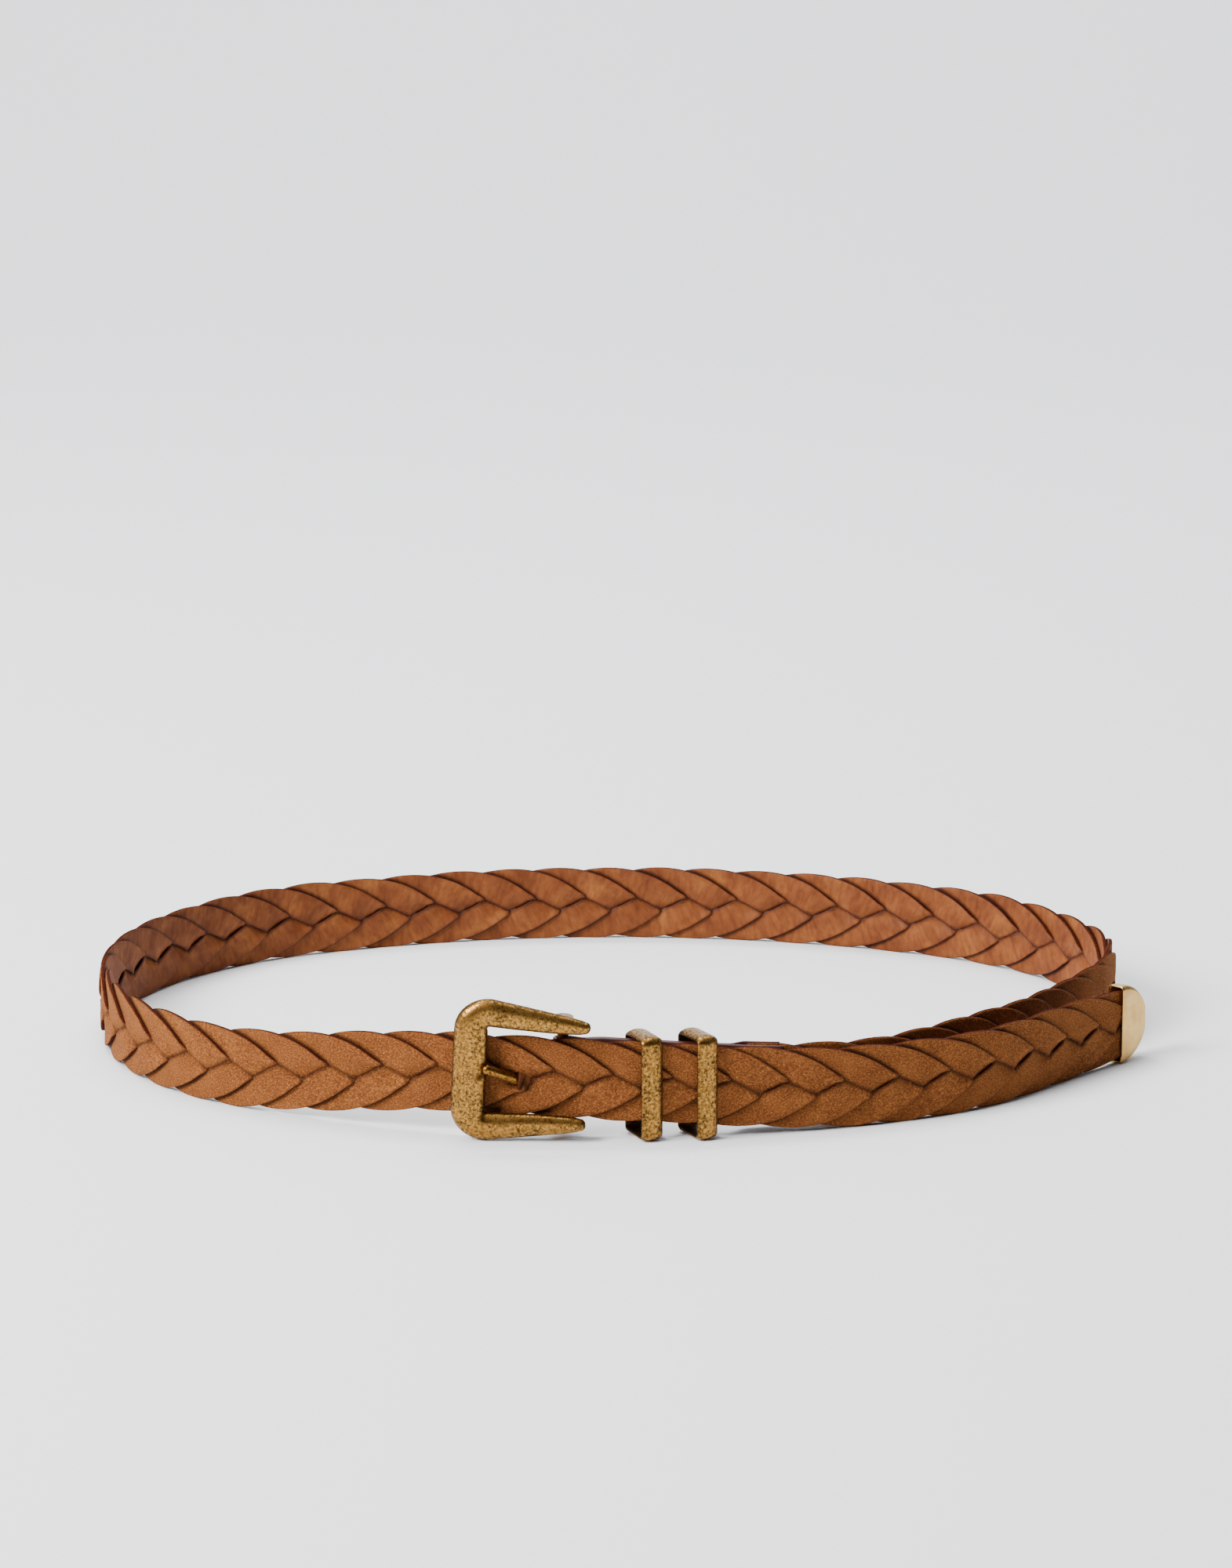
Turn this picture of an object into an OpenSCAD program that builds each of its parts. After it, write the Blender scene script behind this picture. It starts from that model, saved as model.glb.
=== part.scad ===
// Braided suede belt with a western buckle, two keepers and a metal tip, buckled in an oval
// and standing on its lower edge. Millimetres, +Z up, the wearer's waist opening along Z.
// A place on the belt is (s, v, n): s runs along the strap, anticlockwise seen from above and
// starting at the middle of the front, v is the height off the strap's middle line, and n is
// the distance outwards from the oval. The strap goes round once and then overlaps itself.

/* [Loop] */
// Half of the oval's length, to the middle of the strap
half_length = 166; // [140:1:190]
// Depth of the oval's front half
front_depth = 122; // [110:1:135]
// Depth of the oval's back half
back_depth = 118; // [110:1:130]
// Radius of the oval's two ends
end_r = 104; // [92:1:106]

/* [Braid] */
// Width of the braided strap
strap_w = 25; // [20:0.5:30]
// Distance between two scallops along an edge
pitch = 17.8; // [14:0.1:22]
// Width of one leather strand
strand_w = 9; // [7:0.1:10.5]
// Thickness of one leather strand
strand_t = 1.4; // [1:0.1:1.8]
// Gap between the upper and the lower layer of strands
weave_gap = 0.5; // [0.2:0.1:0.8]
// Length of the free end, from the middle of the front to the mouth of its tip
free_end = 188; // [180:1:200]

/* [Buckle] */
// Height of the buckle over its two arms
buckle_h = 45; // [42:0.5:54]
// Length from the heel bar to the outer edge of the front bar
buckle_l = 32.3; // [28:0.1:38]
// Width of the front bar
bar_w = 10.3; // [9:0.1:11]
// Thickness of the front bar
bar_t = 6; // [5:0.1:7]
// Length of the arms past the heel bar
arm_past_heel = 7.5; // [6:0.5:12]
// Thickness of an arm at its tip
arm_tip = 3.6; // [3:0.1:4.4]
// Radius of the heel bar
heel_r = 1.75; // [1.5:0.05:2]
// Distance of the heel bar from the middle of the front, along the strap
heel_at = 17; // [14:0.5:20]
// Lean of the buckle and its heel bar
buckle_roll = 3; // [0:0.5:4]
// Thickness of the prong at its root
prong_d = 3.6; // [3:0.1:4]

/* [Keepers] */
// Width of a keeper along the strap
keeper_w = 7; // [5:0.5:8]
// Wall of a keeper
keeper_wall = 1.6; // [1.2:0.1:2]
// How far a loose keeper sits skewed on the strap
keeper_turn = 22; // [0:1:25]
// Place of the first keeper along the strap
first_keeper_at = 8.5; // [7:0.5:12]
// Place of the second keeper along the strap
second_keeper_at = 25; // [23:0.5:27]

/* [Chape] */
// Thickness of the chape leather
chape_t = 1.1; // [0.9:0.1:1.3]
// How far the chape stays inside the strap's edges
chape_inset = 0.3; // [0.1:0.1:3]
// End of the chape along the strap
chape_end = 52; // [50:1:56]

/* [Tip] */
// Length of the metal tip
tip_l = 13.6; // [13.2:0.1:16]
// How far the metal tip stands over the strap's edges
tip_over = 0.3; // [0.1:0.1:2]
// Thickness of the metal tip
tip_t = 6.2; // [6:0.1:8]
// Sheet thickness of the metal tip
tip_wall = 0.9; // [0.6:0.1:1.2]

/* [Hidden] */
$fn = 32;

suede = "#a4672f";
dark_leather = "#4a1f1c";
thread = "#6b3a22";
brass = "#a07c3c";
pale_brass = "#b8985a";

// The oval: four arcs that meet with a common tangent
end_x = half_length - end_r;
function flat_r(depth) = (depth * depth + end_x * end_x - end_r * end_r) / (2 * (depth - end_r));
front_r = flat_r(front_depth);
back_r = flat_r(back_depth);
front_turn = atan2(end_x, front_r - front_depth);
back_turn = atan2(end_x, back_r - back_depth);
function arc(radius, turn) = radius * turn * PI / 180;
function turned(length, radius) = length / radius * 180 / PI;
s_right = arc(front_r, front_turn);
s_back = s_right + arc(end_r, 180 - front_turn - back_turn);
s_left = s_back + arc(back_r, 2 * back_turn);
s_front = s_left + arc(end_r, 180 - front_turn - back_turn);
loop_l = s_front + s_right;

function wrapped(s) = s - loop_l * floor(s / loop_l);
function heading_of(s) =
    s < s_right ? turned(s, front_r)
    : s < s_back ? front_turn + turned(s - s_right, end_r)
    : s < s_left ? 180 - back_turn + turned(s - s_back, back_r)
    : s < s_front ? 180 + back_turn + turned(s - s_left, end_r)
    : 360 - front_turn + turned(s - s_front, front_r);
function arc_centre(s) =
    s < s_right || s >= s_front ? [0, front_r - front_depth]
    : s < s_back ? [end_x, 0]
    : s < s_left ? [0, back_depth - back_r]
    : [-end_x, 0];
function arc_radius(s) =
    s < s_right || s >= s_front ? front_r
    : s >= s_back && s < s_left ? back_r
    : end_r;
function outward(heading) = [cos(heading - 90), sin(heading - 90)];
function smooth(t) = let (c = min(1, max(0, t))) c * c * (3 - 2 * c);

// Layers at the front, from the free end in to the chape and the fixed end of the braid
braid_t = 2 * strand_t + weave_gap;
layer_gap = 0.6;
outer_ply = -(braid_t / 2 + layer_gap + chape_t / 2);
ply_gap = 0.1;
inner_ply = outer_ply - chape_t - ply_gap;
fixed_end = outer_ply - chape_t / 2 - ply_gap - braid_t / 2;
joint_ply = fixed_end - braid_t / 2 - ply_gap - chape_t / 2;
braid_start = 42;
tail_start = 42;
tail_cut = 0.8;
tip_insert = 4;

// How far the strap stands inside or outside the oval, and how high it is off the floor
function ramp(s, from, to) = smooth((s - from) / (to - from));
inner_spread = 18.5;
spread_from = 60;
spread_to = 145;
rejoin_from = 170;
rejoin_to = 265;
function inner_offset(s) =
    fixed_end - (inner_spread + fixed_end) * ramp(s, spread_from, spread_to)
    + inner_spread * ramp(s, rejoin_from, rejoin_to);
tail_dip = 4.5;
dip_from = 105;
dip_to = 155;
tail_flare = 13;
flare_from = 155;
flare_reach = 50;
function tail_offset(s) = -tail_dip * ramp(s, dip_from, dip_to)
    + tail_flare * pow(max(0, s - flare_from) / flare_reach, 2);
function strap_offset(s) = s < loop_l / 2 ? inner_offset(s) : tail_offset(s - loop_l);
strap_hang = 3.1;
buckle_lift = buckle_h / 2 - strap_w / 2 - strap_hang;
lift_rises = [-135, -45];
lift_falls = [-30, 95];
function front_lift(s) = buckle_lift * ramp(s, lift_rises[0], lift_rises[1])
    * (1 - ramp(s, lift_falls[0], lift_falls[1]));
function lift(s) = front_lift(s < loop_l / 2 ? s : s - loop_l);

// The part's origin is on the floor, under the middle of its box
mouth_point = oval_point(free_end, tail_offset(free_end));
tip_heading = strap_heading(loop_l + free_end);
tip_end = mouth_point[0] + tip_l * cos(tip_heading) + tip_t / 2 * sin(tip_heading);
plan_x = -(tip_end - half_length - braid_t / 2) / 2;
bar_sunk = 0.45;
bar_n = braid_t / 2 - bar_sunk + bar_t / 2;
plan_y = (front_depth + bar_n + bar_t / 2 - back_depth - braid_t / 2) / 2;
function oval_point(s, n) = let (w = wrapped(s))
    arc_centre(w) + (arc_radius(w) + n) * outward(heading_of(w));
function place(s, v, n) = concat(oval_point(s, n) + [plan_x, plan_y], strap_w / 2 + lift(s) + v);
function strap_point(s) = oval_point(s, strap_offset(s));
function strap_heading(s) = let (d = strap_point(s + 0.5) - strap_point(s - 0.5)) atan2(d[1], d[0]);

// The flat braid of five strands: each one swings from edge to edge and passes over two
// strands and then under two
strands = 5;
period = strands * pitch;
swing = (strap_w - strand_w) / 2;
tip_narrowing = 1.2;
// The crossings are counted from the middle of the front, where the prong goes through
front_phase = 110.9;
ring_step = 4.4;
function phase(s, k) = 360 * (s - loop_l) / period + front_phase - 360 / strands * k;
narrow_run = 20;
// +1 and -1 at the two edges: a strand lies along each edge for a while, then crosses steeply
cross_soft = 1.7;
function to_side(p) = cos(p) * sqrt((1 + cross_soft) / (pow(cos(p), 2) + cross_soft));
function side_slope(p) =
    -sin(p) * cross_soft * sqrt(1 + cross_soft) / pow(pow(cos(p), 2) + cross_soft, 1.5);
function swing_at(s) =
    swing - tip_narrowing * ramp(s, loop_l + free_end - narrow_run, loop_l + free_end);
// +1 while a strand is on top and -1 while it is below, turning over softly in between
turn_soft = 0.12;
function over(p) =
    sin(2 * p) / sqrt(pow(sin(2 * p), 2) + turn_soft) * sqrt(1 + turn_soft);
// Where the free end starts, the strands' ends are square to the strap
end_run = 8;
function square_end(s) = ramp(abs(s - loop_l - tail_start - tail_cut / 2), tail_cut / 2, end_run);
function strand_centre(s, k) =
    [s, swing_at(s) * to_side(phase(s, k)), (strand_t + weave_gap) / 2 * over(phase(s, k))];
function strand_ring(s, k) =
    let (c = strand_centre(s, k),
         slope = square_end(s) * swing_at(s) * side_slope(phase(s, k)) * 2 * PI / period,
         long = sqrt(1 + slope * slope),
         across = [-slope, 1] / long * strand_w / 2)
    [for (corner = [[-1, -1], [1, -1], [1, 1], [-1, 1]])
        let (at = c + [corner[0] * across[0], corner[0] * across[1], corner[1] * strand_t / 2])
        place(at[0], at[1], at[2] + strap_offset(c[0]))];

// A closed solid through rings of the same number of points
module skin(rings) {
    count = len(rings[0]);
    last = len(rings) - 1;
    points = [for (ring = rings) each ring];
    sides = [for (i = [0:last - 1], j = [0:count - 1])
        let (a = i * count + j, b = i * count + (j + 1) % count)
        each [[a, b, b + count], [a, b + count, a + count]]];
    start_cap = [for (j = [1:count - 2]) [0, j + 1, j]];
    end_cap = [for (j = [1:count - 2]) [last * count, last * count + j, last * count + j + 1]];
    polyhedron(points = points, faces = concat(sides, start_cap, end_cap), convexity = 10);
}

module strand_piece(k, from, to) {
    steps = ceil((to - from) / ring_step);
    skin([for (i = [0:steps]) strand_ring(from + (to - from) * i / steps, k)]);
}

module main_strand(k) {
    color(suede) difference() {
        strand_piece(k, braid_start, loop_l + tail_start);
        prong_way();
    }
}

module tail_strand(k) {
    color(suede) strand_piece(k, loop_l + tail_start + tail_cut, loop_l + free_end + tip_insert);
}

// A straight frame for the hard parts: +X along the strap, -Y outwards, +Z up
module at_strap(s) {
    point = place(s, 0, 0);
    translate([point[0], point[1], 0]) rotate([0, 0, heading_of(wrapped(s))]) children();
}

// Buckle
fold_gap = 0.25;
heel_n = outer_ply - chape_t / 2 - fold_gap - heel_r;
mid_h = buckle_h / 2;
bar_x = -(buckle_l - bar_w / 2);
heel_z = mid_h + bar_x * sin(buckle_roll);
swing_range = 6;
prong_range = 5;
module at_heel() {
    at_strap(-heel_at) translate([0, -heel_n, heel_z]) rotate([0, buckle_roll, 0]) children();
}

// The frame's middle line as [along, up, outwards from the heel bar, half width, half depth]
arm_root = 4.3;
corner_r = 5.6;
arm_mid_root = mid_h - arm_root - 0.4;
arm_mid_tip = 15.2;
arm_n = braid_t / 2 + 2.9;
edge_fall = 0.5;
function arm_ring(t) =
    let (x = arm_past_heel + (bar_x + corner_r - arm_past_heel) * t)
    [x, arm_mid_tip + (arm_mid_root - arm_mid_tip) * pow(t, 1.15),
     arm_n + (bar_n - arm_n) * smooth(t) - heel_n,
     arm_tip / 2 + (arm_root - arm_tip / 2) * pow(t, 0.6),
     arm_tip / 2 + (bar_t / 2 - edge_fall - arm_tip / 2) * smooth(t)];
function corner_ring(t) =
    [bar_x + corner_r - corner_r * sin(90 * t), arm_mid_root - corner_r + corner_r * cos(90 * t),
     bar_n - heel_n, arm_root + (bar_w / 2 - arm_root) * smooth(t),
     bar_t / 2 - edge_fall * (1 - smooth(t))];
arm_steps = 10;
corner_steps = 5;
bar_steps = 4;
bar_end = arm_mid_root - corner_r;
half_frame = concat([for (i = [0:arm_steps]) arm_ring(i / arm_steps)],
                    [for (i = [1:corner_steps]) corner_ring(i / corner_steps)]);
bar_rings = [for (i = [1:bar_steps - 1])
    [bar_x, bar_end * (1 - 2 * i / bar_steps), bar_n - heel_n, bar_w / 2, bar_t / 2]];
function upside(ring) = [ring[0], -ring[1], ring[2], ring[3], ring[4]];
frame_path = concat(half_frame, bar_rings,
                    [for (i = [len(half_frame) - 1:-1:0]) upside(half_frame[i])]);
section_sides = 20;
function frame_ring(i) =
    let (here = frame_path[i],
         before = frame_path[max(0, i - 1)],
         after = frame_path[min(len(frame_path) - 1, i + 1)],
         along = [after[0] - before[0], after[1] - before[1]],
         side = [along[1], -along[0]] / norm(along))
    [for (j = [0:section_sides - 1])
        let (a = 360 * j / section_sides, w = here[3] * cos(a), d = here[4] * sin(a))
        [here[0] + side[0] * w, -here[2] - d, here[1] + side[1] * w]];
// A rounded end closes each arm
function end_ring(i, out, share) =
    let (ring = frame_ring(i), middle = [frame_path[i][0], -frame_path[i][2], frame_path[i][1]])
    [for (p = ring) middle + (p - middle) * share + [out, 0, 0]];
frame_last = len(frame_path) - 1;
tip_out = arm_tip * 0.35;
tip_share = 0.55;

// A lug on each arm holds one end of the heel bar, beside the strap
lug_w = 5.4;
lug_h = 2.8;
lug_rim = 0.3;
lug_inner = strap_w / 2 + 0.7;
strap_drop = heel_z - strap_w / 2 - lift(-heel_at);
lug_low = -lug_inner - strap_drop - lug_h;
module heel_lug() {
    for (z = [lug_inner, lug_low]) translate([0, 0, z]) {
        cylinder(r = lug_w / 2 + lug_rim, h = lug_h);
        translate([-lug_w / 2, heel_n - arm_n, 0]) cube([lug_w, arm_n - heel_n, lug_h]);
    }
}

module buckle_frame() {
    color(brass) at_heel() difference() {
        union() {
            skin(concat([end_ring(0, tip_out, tip_share)], [for (i = [0:frame_last]) frame_ring(i)],
                        [end_ring(frame_last, tip_out, tip_share)]));
            heel_lug();
        }
        translate([0, 0, -mid_h]) cylinder(r = heel_r, h = buckle_h);
        prong_line(prong_d / 2 + rest_gap);
    }
}

module heel_bar() {
    bar_l = lug_inner + lug_h - lug_low;
    color(pale_brass) at_heel() translate([0, 0, lug_low]) cylinder(r = heel_r, h = bar_l);
}

// The prong lies from the heel bar, through the braid, into a notch in the front bar
prong_low = -8.8;
prong_tip = [-(buckle_l - bar_w - 0.3), -(bar_n + 1 - heel_n), 0.2];
rest_gap = 0.15;
way_gap = 0.35;
loop_wall = 1.3;
loop_fit = 0.06;
prong_vec = prong_tip - [0, 0, prong_low];
prong_l = norm(prong_vec);
prong_turn = atan2(prong_vec[1], prong_vec[0]);
prong_rise = atan2(norm([prong_vec[0], prong_vec[1]]), prong_vec[2]);
prong_loop_r = heel_r + loop_wall;
prong_loop_h = 5;
module along_prong() {
    translate([0, 0, prong_low]) rotate([0, prong_rise, prong_turn]) children();
}
module prong_line(radius) {
    along_prong() {
        cylinder(r = radius, h = prong_l);
        translate([0, 0, prong_l]) sphere(r = radius);
    }
}
// The space that the prong sweeps when it and the frame swing outwards: a wedge round the
// heel bar's axis, one clearance wider than the prong on every side
way_from = 2;
way_past = 4;
module prong_way() {
    reach = norm([prong_vec[0], prong_vec[1]]);
    rise = prong_vec[2] / reach;
    r = prong_d / 2 + way_gap;
    half_h = r * sqrt(1 + rise * rise);
    last_turn = prong_turn + swing_range + prong_range;
    function corner(out, turn, side, up) =
        [out * cos(turn) - side * r * sin(turn), out * sin(turn) + side * r * cos(turn),
         prong_low + out * rise + up * half_h];
    at_heel() skin([for (out = [way_from, reach + way_past])
        [corner(out, last_turn, 1, -1), corner(out, last_turn, 1, 1),
         corner(out, prong_turn, -1, 1), corner(out, prong_turn, -1, -1)]]);
}
module prong() {
    color(pale_brass) at_heel() difference() {
        union() {
            translate([0, 0, prong_low - prong_loop_h / 2])
                cylinder(r = prong_loop_r, h = prong_loop_h);
            prong_line(prong_d / 2);
        }
        translate([0, 0, -mid_h]) cylinder(r = heel_r + loop_fit, h = buckle_h);
    }
}

// Chape: one strip of plain leather, folded round the heel bar and closed on the braid's end
heel_ply = heel_n - heel_r - fold_gap - chape_t / 2;
fold_r = heel_r + fold_gap + chape_t / 2;
chape_h = strap_w - 2 * chape_inset;
fold_run = 8;
joint_from = 35;
joint_to = 41;
function ply_in(s) =
    heel_ply + (inner_ply - heel_ply) * ramp(s, -heel_at, fold_run - heel_at)
    + (joint_ply - inner_ply) * ramp(s, joint_from, joint_to);
ply_step = 4;
ply_steps = ceil((chape_end + heel_at) / ply_step);
fold_steps = 8;
function ply_at(i) = -heel_at + (chape_end + heel_at) * i / ply_steps;
chape_path = concat(
    [for (i = [ply_steps:-1:0]) [ply_at(i), outer_ply, 0, 1]],
    [for (i = [1:fold_steps - 1]) let (a = 90 + 180 * i / fold_steps)
        [-heel_at + fold_r * cos(a), heel_n + fold_r * sin(a), cos(a), sin(a)]],
    [for (i = [0:ply_steps]) [ply_at(i), ply_in(ply_at(i)), 0, -1]]);
// The fold leans with the heel bar
function lean(s, v) = (v - strap_drop) * tan(buckle_roll) * (1 - ramp(s, -heel_at, 0));
module chape() {
    rings = [for (p = chape_path)
        [for (corner = [[-1, -1], [1, -1], [1, 1], [-1, 1]])
            let (shift = corner[0] * chape_t / 2, v = corner[1] * chape_h / 2)
            place(p[0] + p[2] * shift + lean(p[0], v), v, p[1] + p[3] * shift)]];
    color(dark_leather) difference() {
        skin(rings);
        prong_slot();
    }
}
// The slot in the fold that the prong's loop sits in
slot_reach = 8;
module prong_slot() {
    at_heel() translate([-slot_reach, -slot_reach, prong_low - prong_loop_h / 2 - 1])
        cube([slot_reach + prong_loop_r + 0.8, slot_reach + prong_loop_r + 1.4,
              prong_loop_h + 3]);
}

// Stitches lie half sunk in the inner ply
stitch_r = 0.35;
stitch_gap = 3.4;
stitch_l = 2.4;
stitch_margin = 2;
module stitch_row(s, depth) {
    count = floor((chape_h - 2 * stitch_margin) / stitch_gap);
    for (i = [0:count - 1]) {
        at = place(s, (i - (count - 1) / 2) * stitch_gap - stitch_l / 2, depth);
        translate(at) cylinder(r = stitch_r, h = stitch_l, $fn = 16);
    }
}
heel_row = -heel_at + 9;
joint_rows = [chape_end - 3, chape_end - 7];
module heel_stitches() {
    color(thread) stitch_row(heel_row, ply_in(heel_row) - chape_t / 2);
}
module joint_stitches() {
    color(thread) for (s = joint_rows) stitch_row(s, ply_in(chape_end) - chape_t / 2);
}

// Keepers: loose brass loops that stand on the floor, skewed round both layers
keeper_front = braid_t / 2 + 0.75;
keeper_back = inner_ply - chape_t / 2 - 0.9;
// A keeper clears the strap where the first one slides nearest to the buckle
keeper_slide = 7;
keeper_gap = 0.4;
keeper_h = strap_w + lift(first_keeper_at - keeper_slide) + keeper_gap + keeper_wall;
keeper_corner = 2;
module rounded(width, height, radius) {
    translate([radius, 0]) square([width - 2 * radius, height]);
    translate([0, radius]) square([width, height - 2 * radius]);
    for (x = [radius, width - radius], y = [radius, height - radius])
        translate([x, y]) circle(r = radius);
}
module keeper(s) {
    inner_d = (keeper_front - keeper_back + keeper_w * sin(keeper_turn)) / cos(keeper_turn);
    depth = inner_d + 2 * keeper_wall;
    color(brass) at_strap(s) translate([0, -(keeper_front + keeper_back) / 2, 0])
        rotate([0, 0, keeper_turn]) translate([-keeper_w / 2, -depth / 2, 0])
        rotate([90, 0, 90]) linear_extrude(keeper_w) difference() {
            rounded(depth, keeper_h, keeper_corner);
            translate([keeper_wall, keeper_wall])
                square([inner_d, keeper_h - 2 * keeper_wall]);
        }
}
module first_keeper() { keeper(first_keeper_at); }
module second_keeper() { keeper(second_keeper_at); }

// Tip: a flat metal cap with a round end, riveted to the braid from its inner side
tip_fit = 0.5;
tip_h = strap_w + 2 * tip_over;
module at_tip() {
    point = strap_point(loop_l + free_end) + [plan_x, plan_y];
    translate([point[0], point[1], 0]) rotate([0, 0, tip_heading]) children();
}
// A half circle closes the tip, or a flatter arc where the tip is too short for one
least_straight = 0.5;
module tip_outline(length, height) {
    bulge = min(height / 2, length - least_straight);
    end_radius = (height * height / 4 + bulge * bulge) / (2 * bulge);
    square([length - bulge, height]);
    intersection() {
        translate([length - end_radius, height / 2]) circle(r = end_radius);
        translate([length - bulge - least_straight, 0]) square([bulge + least_straight, height]);
    }
}
rivet_r = 1.2;
rivet_at = 2.6;
// The pocket for the braid's end follows the round outline one wall inside it
pocket_l = tip_insert + 1;
module tip_pocket() {
    slot_h = tip_h - 2 * tip_wall;
    slot_t = braid_t + 2 * tip_fit;
    translate([0, slot_t / 2, tip_wall]) rotate([90, 0, 0]) linear_extrude(slot_t)
        difference() {
            tip_outline(tip_l - tip_wall, slot_h);
            translate([pocket_l, -1]) square([tip_l, slot_h + 2]);
        }
    translate([-1, -slot_t / 2, tip_wall]) cube([2, slot_t, slot_h]);
}
module tip_cap() {
    color(pale_brass) at_tip() difference() {
        translate([0, tip_t / 2, 0]) rotate([90, 0, 0]) linear_extrude(tip_t)
            tip_outline(tip_l, tip_h);
        tip_pocket();
        translate([rivet_at, 0, tip_h / 2]) rotate([-90, 0, 0]) cylinder(r = rivet_r, h = tip_t);
    }
}
module tip_rivet() {
    color(pale_brass) at_tip() translate([rivet_at, 0, tip_h / 2]) rotate([-90, 0, 0])
        cylinder(r = rivet_r, h = tip_t / 2);
}

main_strand(0);  // strand_1
main_strand(1);  // strand_2
main_strand(2);  // strand_3
main_strand(3);  // strand_4
main_strand(4);  // strand_5
tail_strand(0);  // tail_strand_1
tail_strand(1);  // tail_strand_2
tail_strand(2);  // tail_strand_3
tail_strand(3);  // tail_strand_4
tail_strand(4);  // tail_strand_5
chape();
heel_stitches();
joint_stitches();
buckle_frame();
heel_bar();
prong();
first_keeper();
second_keeper();
tip_cap();
tip_rivet();
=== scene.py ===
# Braided suede belt with a western buckle, two keepers and a metal tip, buckled in an oval and
# standing on its lower edge. The belt's own sizes are in millimetres and every mesh is in metres.
import math
import bpy
import numpy as np
from mathutils import Matrix, Vector


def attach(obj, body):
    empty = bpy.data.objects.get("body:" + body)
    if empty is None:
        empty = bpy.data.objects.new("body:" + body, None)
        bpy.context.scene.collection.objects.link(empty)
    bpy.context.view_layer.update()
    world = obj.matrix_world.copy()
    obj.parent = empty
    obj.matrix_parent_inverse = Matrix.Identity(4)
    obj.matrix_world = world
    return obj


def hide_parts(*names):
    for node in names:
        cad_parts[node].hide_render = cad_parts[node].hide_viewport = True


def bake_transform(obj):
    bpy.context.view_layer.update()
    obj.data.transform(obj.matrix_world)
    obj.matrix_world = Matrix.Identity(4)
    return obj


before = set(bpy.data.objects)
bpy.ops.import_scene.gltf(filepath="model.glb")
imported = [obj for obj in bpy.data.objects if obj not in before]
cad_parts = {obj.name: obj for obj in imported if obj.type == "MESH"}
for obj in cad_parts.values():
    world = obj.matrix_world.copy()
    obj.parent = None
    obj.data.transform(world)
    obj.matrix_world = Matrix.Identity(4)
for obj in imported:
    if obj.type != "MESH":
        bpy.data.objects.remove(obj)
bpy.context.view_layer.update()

mm = 0.001


def linearColour(code):
    # sRGB hex to the linear colour that a shader socket takes
    parts = [int(code[i:i + 2], 16) / 255 for i in (1, 3, 5)]
    return [c / 12.92 if c <= 0.04045 else ((c + 0.055) / 1.055) ** 2.4 for c in parts] + [1]


def addNode(tree, kind, settings=None, links=None):
    # settings are node properties or, after "in:", input values; links are input to output socket
    node = tree.nodes.new(kind)
    for key, value in (settings or {}).items():
        if key.startswith("in:"):
            name = key[3:]
            node.inputs[int(name) if name.isdigit() else name].default_value = value
        else:
            setattr(node, key, value)
    for key, socket in (links or {}).items():
        tree.links.new(socket, node.inputs[int(key) if key.isdigit() else key])
    return node


def newMaterial(name, roughness, metallic=0.0, **sockets):
    material = bpy.data.materials.new(name)
    material.use_nodes = True
    tree = material.node_tree
    shader = tree.nodes["Principled BSDF"]
    shader.inputs["Roughness"].default_value = roughness
    shader.inputs["Metallic"].default_value = metallic
    for key, value in sockets.items():
        shader.inputs[key.replace("_", " ")].default_value = value
    return material, tree, shader


def rampOf(tree, source, stops):
    # a colour ramp from position and hex colour pairs
    ramp = addNode(tree, "ShaderNodeValToRGB", links={"Fac": source})
    elements = ramp.color_ramp.elements
    while len(elements) < len(stops):
        elements.new(0.5)
    for element, (position, code) in zip(elements, stops):
        element.position = position
        element.color = linearColour(code)
    return ramp.outputs["Color"]


def mixOf(tree, mode, amount, first, second):
    mix = addNode(tree, "ShaderNodeMix", {"data_type": "RGBA", "blend_type": mode})
    for index, value in ((0, amount), (6, first), (7, second)):
        if isinstance(value, bpy.types.NodeSocket):
            tree.links.new(value, mix.inputs[index])
        else:
            mix.inputs[index].default_value = value
    return mix.outputs[2]


def noiseOf(tree, size, vector, detail=3.0, rough=0.55):
    # size is how far apart the blotches are, in millimetres
    return addNode(tree, "ShaderNodeTexNoise",
                   {"in:Scale": 1 / (size * mm), "in:Detail": detail, "in:Roughness": rough},
                   {"Vector": vector}).outputs["Fac"]


def attributeOf(tree, name, socket="Fac"):
    return addNode(tree, "ShaderNodeAttribute", {"attribute_name": name}).outputs[socket]


def objectPlace(tree):
    return addNode(tree, "ShaderNodeTexCoord").outputs["Object"]


def mathOf(tree, operation, socket, number, added=None):
    links = {"0": socket}
    if added:
        links["2"] = added
    return addNode(tree, "ShaderNodeMath", {"operation": operation, "in:1": number}, links).outputs[0]


def bumpOf(tree, shader, height, distance, strength=1.0, below=None):
    links = {"Height": height}
    if below:
        links["Normal"] = below
    bump = addNode(tree, "ShaderNodeBump",
                   {"in:Distance": distance * mm, "in:Strength": strength}, links)
    tree.links.new(bump.outputs["Normal"], shader.inputs["Normal"])
    return bump.outputs["Normal"]


# materials

def strandTone(tree, shader, base, paintedShadeColour, rimColour):
    # painted shade, darker beside the strand that covers this one, and redder along the cut edges
    gap = rampOf(tree, attributeOf(tree, "shade"), ((0.0, paintedShadeColour), (1.0, "#ffffff")))
    shaded = mixOf(tree, "MULTIPLY", 1.0, base, gap)
    edged = mixOf(tree, "MIX", attributeOf(tree, "rim"), shaded, linearColour(rimColour))
    tree.links.new(edged, shader.inputs["Base Color"])


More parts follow.
